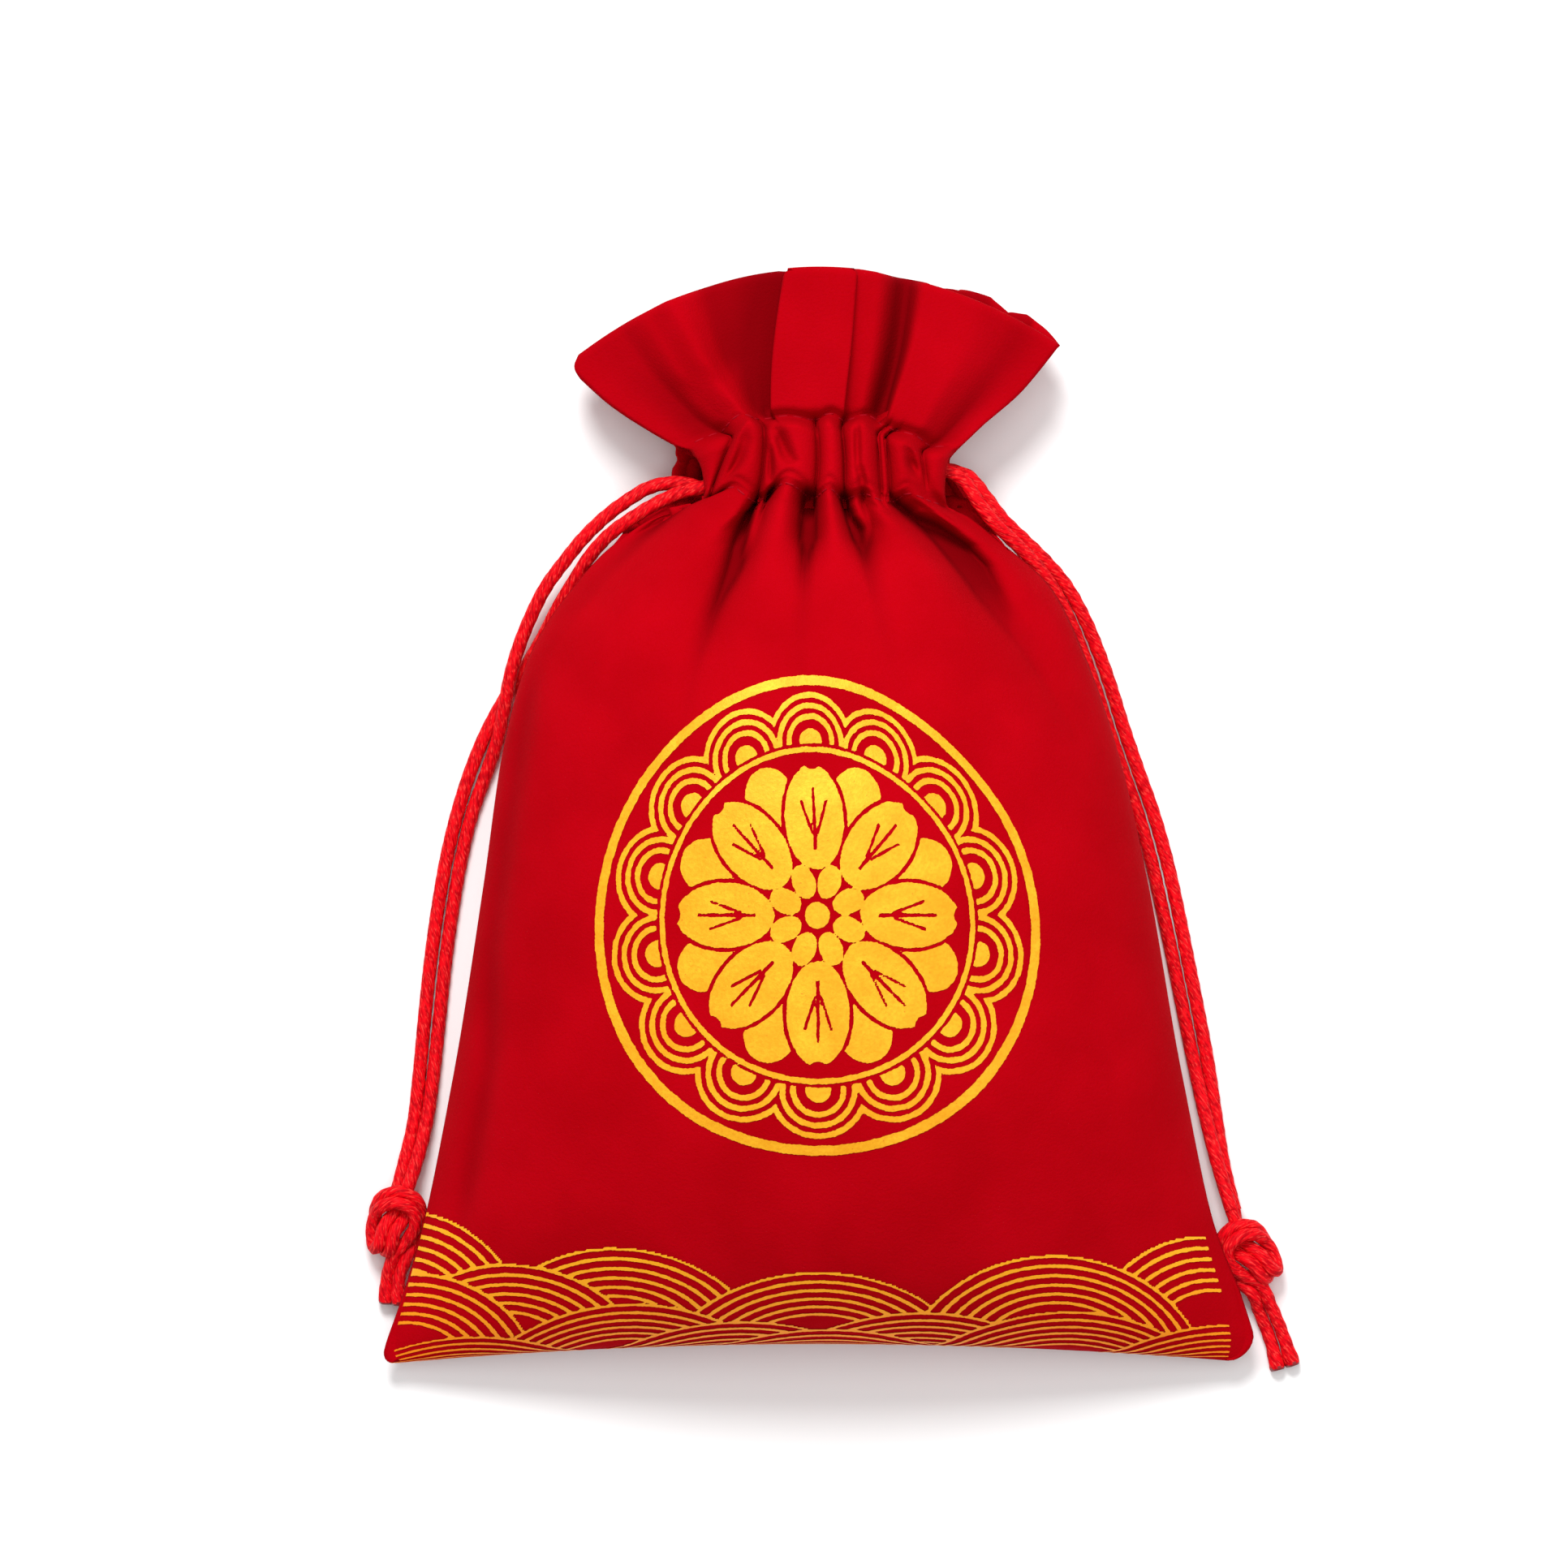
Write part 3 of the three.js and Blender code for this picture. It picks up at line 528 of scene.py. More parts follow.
ridges = [  # folds below the casing: Y, then X of the crest, half width on its left and on its right
    {"y": [10, 20, 30, 36, 40, 43, 45, 47], "x": [-31, -29, -25.5, -21.5, -18, -14.5, -12, -10.2],
     "left": [16, 16, 16, 14, 12, 9, 7, 5], "right": [13, 12, 10.5, 8.4, 6.0, 3.8, 2.2, 1.5], "high": 1.0},
    {"y": [38, 41, 44, 47.5], "x": [-10.3, -9.4, -8.5, -7.9], "left": [0.9, 1.0, 1.0, 0.8],
     "right": [1.2, 1.1, 1.0, 0.8], "high": 0.55},
    {"y": [10, 18, 25, 32, 36, 40.6, 44, 48], "x": [-12.5, -11.5, -10.4, -8.6, -7.4, -6.2, -5.2, -3.9],
     "left": [10, 9, 7, 5.4, 4.2, 3.4, 2.7, 2.2], "right": [16, 15, 13, 10, 6.4, 3.9, 3.0, 2.4], "high": 1.0},
    {"y": [15, 25, 32, 40.6, 44, 48], "x": [4, 3.5, 3.1, 2.4, 1.9, 1.3],
     "left": [12, 11, 8, 2.9, 2.3, 2.0], "right": [14, 12, 9, 3.0, 2.3, 2.0], "high": 0.95},
    {"y": [42, 44, 45.5, 47.5], "x": [7.6, 6.4, 5.7, 5.4], "left": [1.4, 1.5, 1.4, 1.3],
     "right": [1.6, 1.6, 1.5, 1.4], "high": 0.7},
    {"y": [10, 19, 27, 32, 36, 40, 42, 44.5, 46, 47.5],
     "x": [27, 23.5, 20, 17.6, 15.8, 13.4, 11.9, 9.8, 8.9, 8.5],
     "left": [18, 18, 17, 14, 11, 6.4, 5.0, 3.6, 2.6, 2.2],
     "right": [12, 10, 8, 6, 5, 4.2, 3.8, 3.4, 2.8, 2.4], "high": 1.0},
    {"y": [30, 37, 40, 42, 44, 46, 48], "x": [37, 32.5, 28, 23.5, 18.4, 15.0, 13.2],
     "left": [9, 8, 6.6, 6.2, 5.0, 3.6, 2.8], "right": [10, 10, 9, 8, 7, 6, 5], "high": 1.0},
]
pocketDepth = {"y": [2, 15, 25, 32, 38, 42, 44.5, 46.3, 47.6],
               "z": [0, 0.9, 2.2, 3.9, 5.8, 7.0, 6.4, 3.6, 1.0]}
ridgeHeight = {"y": [2, 20, 30, 38, 42, 44.6, 45.6, 46.2, 46.6, 47.0, 47.5],
               "z": [0, 0.4, 0.9, 1.4, 1.9, 3.0, 4.6, 5.2, 5.3, 5.0, 4.4]}
easing = {  # spots smoothed out (flat cloth, then Y), reach of the average, widths of the soft ends
    "spots": [(-52, -22, 57.0, 70.0), (44, 65, 42.5, 52.5)],
    "along": 3, "across": 4, "side": 6, "low": 2, "high": 5,
}
frontGrid = {"rows": (1.15, 0.5, 30.0, 36.0), "ruffle": 0.85, "neck": 0.36, "body": 0.95}  # steps in mm


def grooveAt(x, y):  # soft line inside the left edge, over the seam allowance
    line = np.interp(y, sideGroove["y"], sideGroove["x"])
    return np.exp(-((x - line) / sideGroove["half"]) ** 2) * band(*sideGroove["span"], y)


def foldsBelow(x, y, xi):  # ridges that run down from the casing, and the pockets between them
    best = np.zeros_like(x)
    for ridge in ridges:
        crest, left, right = (np.interp(y, ridge["y"], ridge[k]) for k in ("x", "left", "right"))
        t = np.clip((x - crest) / np.where(x < crest, left, right), -1, 1)
        start = smooth(ridge["y"][0] - ridgeShape["before"], ridge["y"][0] + ridgeShape["after"], y)
        best = np.maximum(best, ridge["high"] * (1 - t * t) ** ridgeShape["round"] * start)
    pocket = np.interp(y, pocketDepth["y"], pocketDepth["z"])
    crest = np.interp(y, ridgeHeight["y"], ridgeHeight["z"])
    fade = 1 - smooth(*ridgeShape["sides"], np.abs(xi))
    return (best * (pocket + crest) - pocket) * fade - sideGroove["depth"] * grooveAt(x, y)


def ribRise(flat, x, y, dip):  # puffed ribs of the casing, with their valleys, grooves and dimples
    edges = np.array(ribs["flat"])
    k = np.clip(np.searchsorted(edges, flat, side="right") - 1, 0, len(edges) - 2)
    t = (flat - edges[k]) / (edges[k + 1] - edges[k]) * 2 - 1
    rounded = np.maximum(1 - t * t, 0) ** ribShape["round"]
    onCrest, onValley = (band(*ribShape[name], y) for name in ("crestBand", "valleyBand"))
    rise = (np.array(ribs["height"])[k] * rounded + dip * rounded) * onCrest
    rise = rise - ribShape["valley"] * (1 - rounded) * onValley + ribShape["lift"] * onCrest
    for middle, half, depth in ribShape["grooves"]:
        rise = rise - depth * np.exp(-((y - middle) / half) ** 2)
    for x0, y0, x1, y1, width, depth in dimples:
        dx, dy = x1 - x0, y1 - y0
        t = np.clip(((x - x0) * dx + (y - y0) * dy) / (dx * dx + dy * dy), 0, 1)
        away = np.hypot(x - x0 - t * dx, y - y0 - t * dy)
        ends = np.sin(math.pi * np.clip(t, *ribShape["dimpleEnds"])) ** ribShape["dimpleRound"]
        rise = rise - depth * np.exp(-(away / width) ** 2) * ends * onCrest
    return rise


def easedPanel(panel, flat, y):  # takes small kinks out of the cloth
    soft = softened(softened(panel, easing["along"]).swapaxes(0, 1), easing["across"]).swapaxes(0, 1)
    for left, right, low, high in easing["spots"]:
        across = band(left, left + easing["side"], right - easing["side"], right, flat)
        along = band(low, low + easing["low"], high - easing["high"], high, y)
        panel = mix(panel, soft, (along * across)[..., None])
    return panel


def lineAt(flat, table, name):  # straight course between the table's lines
    return np.interp(flat, table["flat"], table[name])


def roundedLineAt(flat, table, name):  # rounded course between the table's lines
    stops, values = np.array(table["flat"]), np.array(table[name])
    k = np.clip(np.searchsorted(stops, flat, side="right") - 1, 0, len(stops) - 2)
    return mix(values[k], values[k + 1], smooth(stops[k], stops[k + 1], flat))


def frontAcross(row, flat):  # even on the body, along the ribs at the casing, along the pleats above it
    y = row["y"]
    level = levelBetween("lowStitch", "highStitch", y)
    low, middle, high = (lineAt(flat, ribs, name) for name in ("low", "middle", "high"))
    neck = (low * (1 - level) * (1 - 2 * level) + middle * 4 * level * (1 - level)
            + high * level * (2 * level - 1))
    held = np.clip(y, shape["lowStitch"], shape["highStitch"])
    neck = asShare(neck, {k: np.interp(held, y[:, 0], row[k][:, 0]) for k in ("left", "right")})
    body = evenXi(row, flat / shape["flatHalf"], 1)
    xi = mix(body, neck, smooth(shape["gatherStart"], shape["lowStitch"], y))
    lowXi = asShare(lineAt(flat, pleats, "xLow"), tableRow(shape["highStitch"]))
    topXi = asShare(lineAt(flat, pleats, "xTop"), tableRow(shape["top"]))
    fanned = mix(lowXi, topXi, levelBetween("highStitch", "top", y) ** ruffle["across"])
    return np.clip(mix(xi, fanned, smooth(*ruffle["opening"], y)), -1, 1)


def frontSheet():
    places, along = rowPlaces("front", *frontGrid["rows"])
    row = sectionAt(places)
    y = row["y"]
    stops = np.unique(np.concatenate([ribs["flat"], pleats["flat"]]))
    ruffleWidth = np.abs(np.diff(lineAt(stops, pleats, "xTop")))
    neckWidth = np.abs(np.diff(lineAt(stops, ribs, "middle")))
    counts = [ruffleWidth / frontGrid["ruffle"], neckWidth / frontGrid["neck"],
              np.diff(stops) / frontGrid["body"]]
    flat = spread(stops, np.maximum.reduce(counts))
    xi = frontAcross(row, flat)
    x = xi * halfAt(row, xi)
    shift = sum(roundedLineAt(flat, stitchShift, name) * band(*stitchShift[name + "Band"], y)
                for name in ("low", "high"))
    fan = levelBetween("highStitch", "top", y)
    placeY = y - dropAt(row, xi) * xi * xi + shift - shape["rollReach"] * fan
    edge, bulge = baseBulge(row, xi, 1)
    below = foldsBelow(x, y, xi) * (1 - smooth(*ridgeShape["end"], y))
    casing = ribRise(flat, x, y, np.maximum(ribShape["crown"] - row["front"], 0) * (1 - xi * xi))
    low, top = (roundedLineAt(flat, pleats, name) for name in ("zLow", "zTop"))
    pleat = mix(low, top, fan ** ruffle["up"]) * smooth(*ruffle["rising"], y)
    z = row["seam"] + aboveSeam(bulge + below + casing + pleat, edge, y)
    panel = easedPanel(np.stack([x, placeY, np.maximum(z, 0)], 2), flat, y)
    return {"flat": flat, "along": along, "row": row, "xi": xi, "panel": panel}


frontLaid = frontSheet()
# painted shade along the side groove, added to the folds' painted shade
paintedGrooveShade = sideGroove["shade"] * grooveAt(frontLaid["panel"][:, :, 0], frontLaid["row"]["y"])
front = sewnCloth("front_cloth", frontLaid, 1, paintedGrooveShade)
belong(front, "velvet", "front_panel", "front_hem")

# back cloth: lies on the floor, drawn together along the same lines as in the part's source, in finer gathers
backFolds = {
    "flat": [-65, -44, -30, -17, -5, 8, 20, 33, 48, 65],
    "neck": [-16.9, -12.6, -8.6, -4.6, -0.8, 3.4, 7.4, 11.4, 15.6, 18.9],
    "top": [-36.2, -24.0, -15.5, -8.0, -1.5, 6.5, 13.0, 19.5, 27.0, 35.0],
}
backGathers = {  # small gathers: pitch, how uneven, height and swing of each part, and bands of Y
    "pitch": 9.6, "stray": 0.15, "below": (-1.2, 2.2), "casing": (0.7, 1.4), "ruffle": (-0.4, 2.0),
    "belowBand": (2, 38, 43, 46.5), "casingBand": (46.4, 48.6, 55.6, 57.6), "flatSides": 6,
}
backGrid = {"rows": (1.5, 0.8, 26.0, 32.0), "column": 0.8}
peeks = {  # where the back shows past the front: along the ruffle's top, then beside the casing and shoulders
    "x": [17, 22, 25, 28, 30, 33, 35], "y": [0, 1.6, 1.9, 0.5, 1.9, 1.5, 0.2],
    "row": [39.6, 40.4, 41.2, 42.2, 43.4, 47, 50, 54, 57, 59],
    "left": [0, 0, 0, 1.0, 3.6, 6.0, 5.2, 4.4, 2.0, 0],
    "right": [0, 0, 0, 1.0, 3.2, 4.4, 2.8, 0.6, 0, 0],
    "down": [0, 0.5, 1.6, 4.4, 4.8, 3.4, 1.6, 0.4, 0, 0], "sides": (0.6, 1.0),
}


def backSheet():
    places, along = rowPlaces("back", *backGrid["rows"])
    row = sectionAt(places)
    y = row["y"]
    stops = np.array(backFolds["flat"], float)
    flat = spread(stops, np.diff(stops) / backGrid["column"])
    stray = backGathers["stray"] * (np.sin(0.2 * flat) + 0.8 * np.sin(0.47 * flat + 1.0))  # no two alike
    wave = np.cos(2 * math.pi * (flat / backGathers["pitch"] + stray)) * (0.88 + 0.12 * np.sin(0.31 * flat))
    atSides = 1 - np.abs(flat / shape["flatHalf"]) ** backGathers["flatSides"]
    gathers = {}
    for name in ("below", "casing", "ruffle"):
        height, swing = backGathers[name]
        gathers[name] = (height + swing * wave) * atSides
    body = evenXi(row, flat / shape["flatHalf"], -1)
    lowXi = asShare(lineAt(flat, backFolds, "neck"), tableRow(shape["lowStitch"]))
    topXi = asShare(lineAt(flat, backFolds, "top"), tableRow(shape["top"]))
    fan = levelBetween("highStitch", "top", y)
    xi = mix(body, lowXi, smooth(shape["gatherStart"], shape["lowStitch"], y))
    xi = np.clip(mix(xi, topXi, fan ** ruffle["across"]), -1, 1)
    edge, bulge = baseBulge(row, xi, -1)
    below = gathers["below"] * band(*backGathers["belowBand"], y)
    casing = gathers["casing"] * band(*backGathers["casingBand"], y)
    pleat = gathers["ruffle"] * fan ** ruffle["up"]
    beside = smooth(*peeks["sides"], np.abs(xi))
    left, right, down = (np.interp(y, peeks["row"], peeks[k]) * beside for k in ("left", "right", "down"))
    x = xi * halfAt(row, xi) + np.where(xi < 0, -left, right)
    z = row["seam"] - aboveSeam(bulge + below + casing + pleat, edge, y) - down  # the shoulders round off
    placeY = y - dropAt(row, xi) * xi * xi + np.interp(x, peeks["x"], peeks["y"]) * fan ** 2
    panel = np.stack([x, placeY - shape["rollReach"] * fan, np.maximum(z, 0)], 2)
    return {"flat": flat, "along": along, "row": row, "xi": xi, "panel": panel}


backLaid = backSheet()
back = sewnCloth("back_cloth", backLaid, -1)
belong(back, "velvet", "back_panel", "back_hem")

# drawcords: the part's routes, but at the neck the rear strands lie closer and the front ones a little higher
cordShape = {
    "radius": 1.0, "sides": 24, "step": 0.3, "yarns": 5, "relief": 0.038, "twist": 2.6, "crossing": 0.5,
    "spread": 1.35, "turnInset": 0.4, "held": [0.01, 0.25, 0.5, 0.74], "bight": [0.01, 0.25, 0.5, 0.68],
}
cutShape = {"swell": 0.22, "from": (0.5, 4.0), "end": 0.72, "closing": 0.7}  # the last mm of a heat-cut cord
strandRoutes = {  # metres, from the casing's end down to the knot
    "left_cord_front": [
        (-0.0168, 0.0486, 0.01175), (-0.02, 0.0479, 0.0113), (-0.0236, 0.0463, 0.0111),
        (-0.0271, 0.0442, 0.01095), (-0.0304, 0.04185, 0.00975), (-0.0333, 0.0388, 0.0079),
        (-0.0357, 0.0352, 0.006), (-0.0381, 0.0313, 0.0044), (-0.0404, 0.0269, 0.0028),
        (-0.0431, 0.0223, 0.0016), (-0.0462, 0.0176, 0.0011), (-0.049, 0.0124, 0.00105),
        (-0.0512, 0.007, 0.00105), (-0.0531, 0.001, 0.00105), (-0.0547, -0.0056, 0.00105),
        (-0.056, -0.013, 0.00105), (-0.0571, -0.021, 0.00105), (-0.058, -0.0295, 0.00105),
        (-0.0588, -0.038, 0.00105), (-0.0597, -0.0455, 0.0012), (-0.061, -0.051, 0.0019),
        (-0.0619, -0.0546, 0.0029),
    ],
    "left_cord_back": [
        (-0.0168, 0.0487, 0.00905), (-0.0204, 0.0494, 0.0087), (-0.0244, 0.0488, 0.0082),
        (-0.0281, 0.0467, 0.008), (-0.0314, 0.0442, 0.0076), (-0.0344, 0.0413, 0.0069),
        (-0.0372, 0.0379, 0.006), (-0.04, 0.0341, 0.0051), (-0.0422, 0.0298, 0.0044),
        (-0.044, 0.0253, 0.004), (-0.0453, 0.0208, 0.0038), (-0.0461, 0.0165, 0.0034),
        (-0.0471, 0.0119, 0.0022), (-0.0489, 0.0066, 0.0012), (-0.0509, 0.001, 0.00105),
        (-0.0525, -0.0056, 0.00105), (-0.0538, -0.013, 0.00105), (-0.0549, -0.021, 0.00105),
        (-0.0558, -0.0295, 0.0011), (-0.0567, -0.038, 0.0014), (-0.0578, -0.0455, 0.0022),
        (-0.0592, -0.051, 0.0034), (-0.0604, -0.0546, 0.0047),
    ],
    "right_cord_front": [
        (0.0188, 0.0512, 0.01175), (0.0215, 0.0495, 0.0116), (0.0235, 0.0465, 0.0115),
        (0.026, 0.0434, 0.0112), (0.0289, 0.0406, 0.0101), (0.0319, 0.0376, 0.0085),
        (0.0347, 0.0338, 0.0068), (0.037, 0.0296, 0.005), (0.0391, 0.0246, 0.0034),
        (0.041, 0.0194, 0.0021), (0.0429, 0.0136, 0.0012), (0.0451, 0.0072, 0.00105),
        (0.0473, 0.001, 0.00105), (0.0492, -0.0056, 0.00105), (0.0508, -0.0126, 0.00105),
        (0.0524, -0.02, 0.00105), (0.054, -0.028, 0.0011), (0.0556, -0.036, 0.0016),
        (0.0573, -0.044, 0.003), (0.0592, -0.0515, 0.004), (0.0611, -0.0578, 0.0049),
    ],
    "right_cord_back": [
        (0.0188, 0.0514, 0.00905), (0.0222, 0.0503, 0.0088), (0.0247, 0.0474, 0.0086),
        (0.0272, 0.0441, 0.0083), (0.0303, 0.0411, 0.0075), (0.0336, 0.0379, 0.0064),
        (0.0366, 0.0344, 0.0052), (0.0391, 0.0301, 0.0042), (0.0413, 0.0251, 0.003),
        (0.0433, 0.0196, 0.0019), (0.0452, 0.0136, 0.00115), (0.0474, 0.0072, 0.00105),
        (0.0496, 0.001, 0.00105), (0.0515, -0.0056, 0.00105), (0.0531, -0.0126, 0.00105),
        (0.0546, -0.02, 0.00105), (0.0562, -0.028, 0.00105), (0.0577, -0.036, 0.00105),
        (0.0589, -0.044, 0.00105), (0.0601, -0.0515, 0.0015), (0.0616, -0.0578, 0.0025),
    ],
}
casingRow = tableRow(shape["casingMiddle"])


def smoothPath(points, step):  # even steps along a rounded course through the points
    points = np.asarray(points, float)
    chord = running(points)
    slope = np.gradient(points, chord, axis=0)
    fine = np.linspace(0, chord[-1], len(points) * 24)  # close enough to measure along
    k = np.clip(np.searchsorted(chord, fine, side="right") - 1, 0, len(points) - 2)
    h = (chord[k + 1] - chord[k])[:, None]
    line = cubic(points[k], points[k + 1], slope[k] * h, slope[k + 1] * h, (fine - chord[k])[:, None] / h)
    length = running(line)
    wanted = np.linspace(0, length[-1], int(round(length[-1] / step)) + 1)
    return np.stack([np.interp(wanted, length, line[:, i]) for i in range(3)], 1)


def tubeParts(path, radius, cutOff):  # points, quads, end triangles and the quads' uvs of one cord
    sides, rows = cordShape["sides"], len(path)
    tangent = unit(np.gradient(path, axis=0))
    aside = np.cross(tangent[0], (0.0, 0.0, 1.0))
    frames = []
    for t in tangent:  # carried along without twist
        aside = unit(aside - t * aside.dot(t))
        frames.append(aside)
    aside = np.array(frames)
    up = np.cross(tangent, aside)
    along = running(path)
    angle = np.arange(sides) * 2 * math.pi / sides
    lean = along[:, None] * cordShape["twist"]
    yarns = cordShape["yarns"] * angle
    weave = np.cos(yarns + lean) + cordShape["crossing"] * np.cos(yarns - lean)
    r = radius * (1 + cordShape["relief"] * weave)
    if cutOff:  # the heat-cut end spreads, then closes
        left = along[-1] - along
        swell = 1 + cutShape["swell"] * (1 - smooth(*cutShape["from"], left))
        r = r * (swell * np.minimum(1, cutShape["end"] + cutShape["closing"] * left) ** 0.5)[:, None]
    ring = path[:, None] + aside[:, None] * (np.cos(angle) * r)[..., None]
    ring = ring + up[:, None] * (np.sin(angle) * r)[..., None]
    points = np.concatenate([ring.reshape(-1, 3), path[:1], path[-1:]])
    quads = gridQuads(rows, sides, 1)
    this = np.arange(sides)
    after = (this + 1) % sides
    start, end = np.full(sides, rows * sides), np.full(sides, rows * sides + 1)
    last = (rows - 1) * sides
    ends = np.concatenate([np.stack([start, after, this], 1), np.stack([end, this + last, after + last], 1)])
    turn = (quads[:, 0] % sides) / sides
    turns = np.stack([turn, turn + 1 / sides, turn + 1 / sides, turn], 1)
    return points, quads, ends, np.stack([along[quads // sides], turns], 2)


def cordPiece(name, paths, radius, cutOff=False):  # one piece of one or more strands
    points, quads, ends, uvs, count = [], [], [], [], 0
    for path in paths:
        tube, tubeQuads, tubeEnds, tubeUvs = tubeParts(path, radius, cutOff)
        points.append(tube)
        quads.append(tubeQuads + count)
        ends.append(tubeEnds + count)
        uvs.append(tubeUvs.reshape(-1, 2))
        count += len(tube)
    faces = [np.concatenate(quads), np.concatenate(ends)]
    uvs.append(np.zeros((faces[1].size, 2)))  # the ends' corners
    return meshPiece(name, np.concatenate(points), faces, satin, np.concatenate(uvs))


def casingPoint(side, share, offset):  # the middle of a cord inside the casing
    edge = shape["gap"] / 2 + casingRow["lift"]
    wall = casingRow["front" if side > 0 else "back"]
    crown = side * (wall - casingRow["seam"]) - shape["edgeCloth"]
    bulge = edge + (crown - edge) * (1 - share * share)
    y = casingRow["y"] - dropAt(casingRow, share) * share * share + offset
    return [halfAt(casingRow, share) * share, y, casingRow["seam"] + side * (bulge - shape["tunnel"] / 2)]


strands = {}
for hand, sign in (("left", -1), ("right", 1)):
    offset = sign * cordShape["spread"]
    for face, side in (("front", 1), ("back", -1)):
        node = f"{hand}_cord_{face}"
        held = [casingPoint(side, sign * s, offset) for s in cordShape["held"]]
        route = [[v / mm for v in p] for p in strandRoutes[node]]
        path = smoothPath(held + route, cordShape["step"])
        piece = cordPiece(f"{hand}_strand_{face}", [path], cordShape["radius"])
        belong(piece, "satin_cord", node)
        strands[node] = (piece, path)
    half = casingRow["right" if sign < 0 else "left"]
    turnShare = -sign * (half - shape["hemInset"] - cordShape["turnInset"]) / half
    start = casingPoint(1, turnShare, offset)
    reach = start[2] - casingRow["seam"]
    turn = [[start[0] - sign * reach * math.cos(math.radians(a)), start[1],
             casingRow["seam"] + reach * math.sin(math.radians(a))] for a in (90, 45, 0, -45, -90)]
    onFront, onBack = ([casingPoint(side, -sign * s, offset) for s in cordShape["bight"]] for side in (1, -1))
    path = smoothPath(onFront + turn + onBack[::-1], cordShape["step"])
    bight = cordPiece(f"{hand}_bight", [path], cordShape["radius"])
    belong(bight, "satin_cord", f"{hand}_cord_bight")
print("strands", {node: round(running(path)[-1]) for node, (_, path) in strands.items()}, "mm")

# knots: both strands side by side round one overhand turn
knotLine = [  # aside, up the cord and off the floor, then the way that the pair's flat face looks
    (0.4, 2.0, 0.2, 0, 0.2, 1), (-1.3, -0.6, 1.5, -0.2, 0, 1), (-2.2, -3.2, 0.8, -0.3, -0.8, 0.6),
    (-2.9, -3.4, -0.9, -0.5, -0.8, -0.4), (-3.6, -0.8, -1.8, -1, 0, -0.4), (-3.4, 1.8, -0.9, -1, 0.3, 0.1),
    (-2.2, 3.6, 1.0, -0.6, 0.6, 0.6), (0.2, 4.2, 2.0, 0, 0.5, 1), (2.6, 2.9, 1.6, 0.6, 0.4, 0.8),
    (2.9, 0.2, 0.5, 1, 0, 0.4), (1.8, -2.4, -0.3, 0.6, -0.4, 0.6), (0.2, -4.6, -0.2, 0, -0.3, 1),
]
knots = {
    "left_knot": {"middle": (-61.8, -60.0, 3.75), "mirror": 1, "turn": 2.0, "strands": {
        "left_cord_front": [(-63.4, -67.4, 2.2), (-63.7, -71.6, 1.4)],
        "left_cord_back": [(-61.6, -67.4, 3.0), (-61.8, -71.8, 2.4)]}},
    "right_knot": {"middle": (63.3, -64.8, 3.75), "mirror": -1, "turn": 19.3, "strands": {
        "right_cord_front": [(67.1, -72.2, 2.6), (68.8, -76.3, 1.6), (70.3, -80.8, 1.25)],
        "right_cord_back": [(65.3, -72.8, 1.6), (66.9, -76.9, 1.2), (68.1, -81.5, 1.25)]}},
}
knotShape = {"radius": 0.95, "apart": 0.92, "clear": 1.05, "entry": 9, "every": 4, "melted": 1.2}
for name, knot in knots.items():
    line = np.array(knotLine)
    middle, facing = line[:, :3] * (knot["mirror"], 1, 1), line[:, 3:] * (knot["mirror"], 1, 1)
    c, s = math.cos(math.radians(knot["turn"])), math.sin(math.radians(knot["turn"]))
    spin = np.array([[c, s, 0], [-s, c, 0], [0, 0, 1]])
    middle, facing = middle @ spin + knot["middle"], facing @ spin
    aside = unit(np.cross(np.gradient(middle, axis=0), facing))
    paths = []
    for sign, (node, tail) in zip((1, -1), knot["strands"].items()):
        entry = strands[node][1][-knotShape["entry"]::knotShape["every"]]
        shift = sign * knot["mirror"] * knotShape["apart"]
        points = np.concatenate([entry, middle + aside * shift, np.array(tail)])
        points[:, 2] = np.maximum(points[:, 2], knotShape["radius"] * knotShape["clear"])
        paths.append(smoothPath(points, cordShape["step"]))
    piece = cordPiece(name + "_turns", paths, knotShape["radius"], True)
    piece.data.materials.append(cutEnd)
    for polygon in piece.data.polygons:
        near = min((Vector(p[-1] * mm) - polygon.center).length for p in paths)
        if near < knotShape["melted"] * mm:
            polygon.material_index = 1
    belong(piece, "satin_cord", name)
    for node in knot["strands"]:
        strand, path = strands[node]
print("knots tied")


def bakedPiece(name, source, tree, inputs):  # runs a node tree on a mesh and keeps the plain result
    modifier = source.modifiers.new("nodes", "NODES")
    modifier.node_group = tree
    sockets = {s.name: s.identifier for s in tree.interface.items_tree if s.in_out == "INPUT"}
    for key, value in inputs.items():
        modifier[sockets[key]] = value
    bpy.context.view_layer.update()
    done = source.evaluated_get(bpy.context.evaluated_depsgraph_get())
    mesh = bpy.data.meshes.new_from_object(done)
    mesh.name = name
    bpy.data.objects.remove(source)
    return newObject(name, mesh)


def newTree(name, inputs):
    tree = bpy.data.node_groups.new(name, "GeometryNodeTree")
    tree.interface.new_socket("Geometry", in_out="INPUT", socket_type="NodeSocketGeometry")
    for key, kind in inputs:
        tree.interface.new_socket(key, in_out="INPUT", socket_type=kind)
    tree.interface.new_socket("Geometry", in_out="OUTPUT", socket_type="NodeSocketGeometry")
    return tree, addNode(tree, "NodeGroupInput").outputs


def endTree(tree, geometry, material):  # every tree ends in real geometry with its material
    real = addNode(tree, "GeometryNodeRealizeInstances", {"Geometry": geometry})
    shaded = addNode(tree, "GeometryNodeSetShadeSmooth", {"Geometry": real.outputs["Geometry"]})
    painted = addNode(tree, "GeometryNodeSetMaterial", {
        "Geometry": shaded.outputs["Geometry"], "Material": material})
    addNode(tree, "NodeGroupOutput", {"Geometry": painted.outputs["Geometry"]})


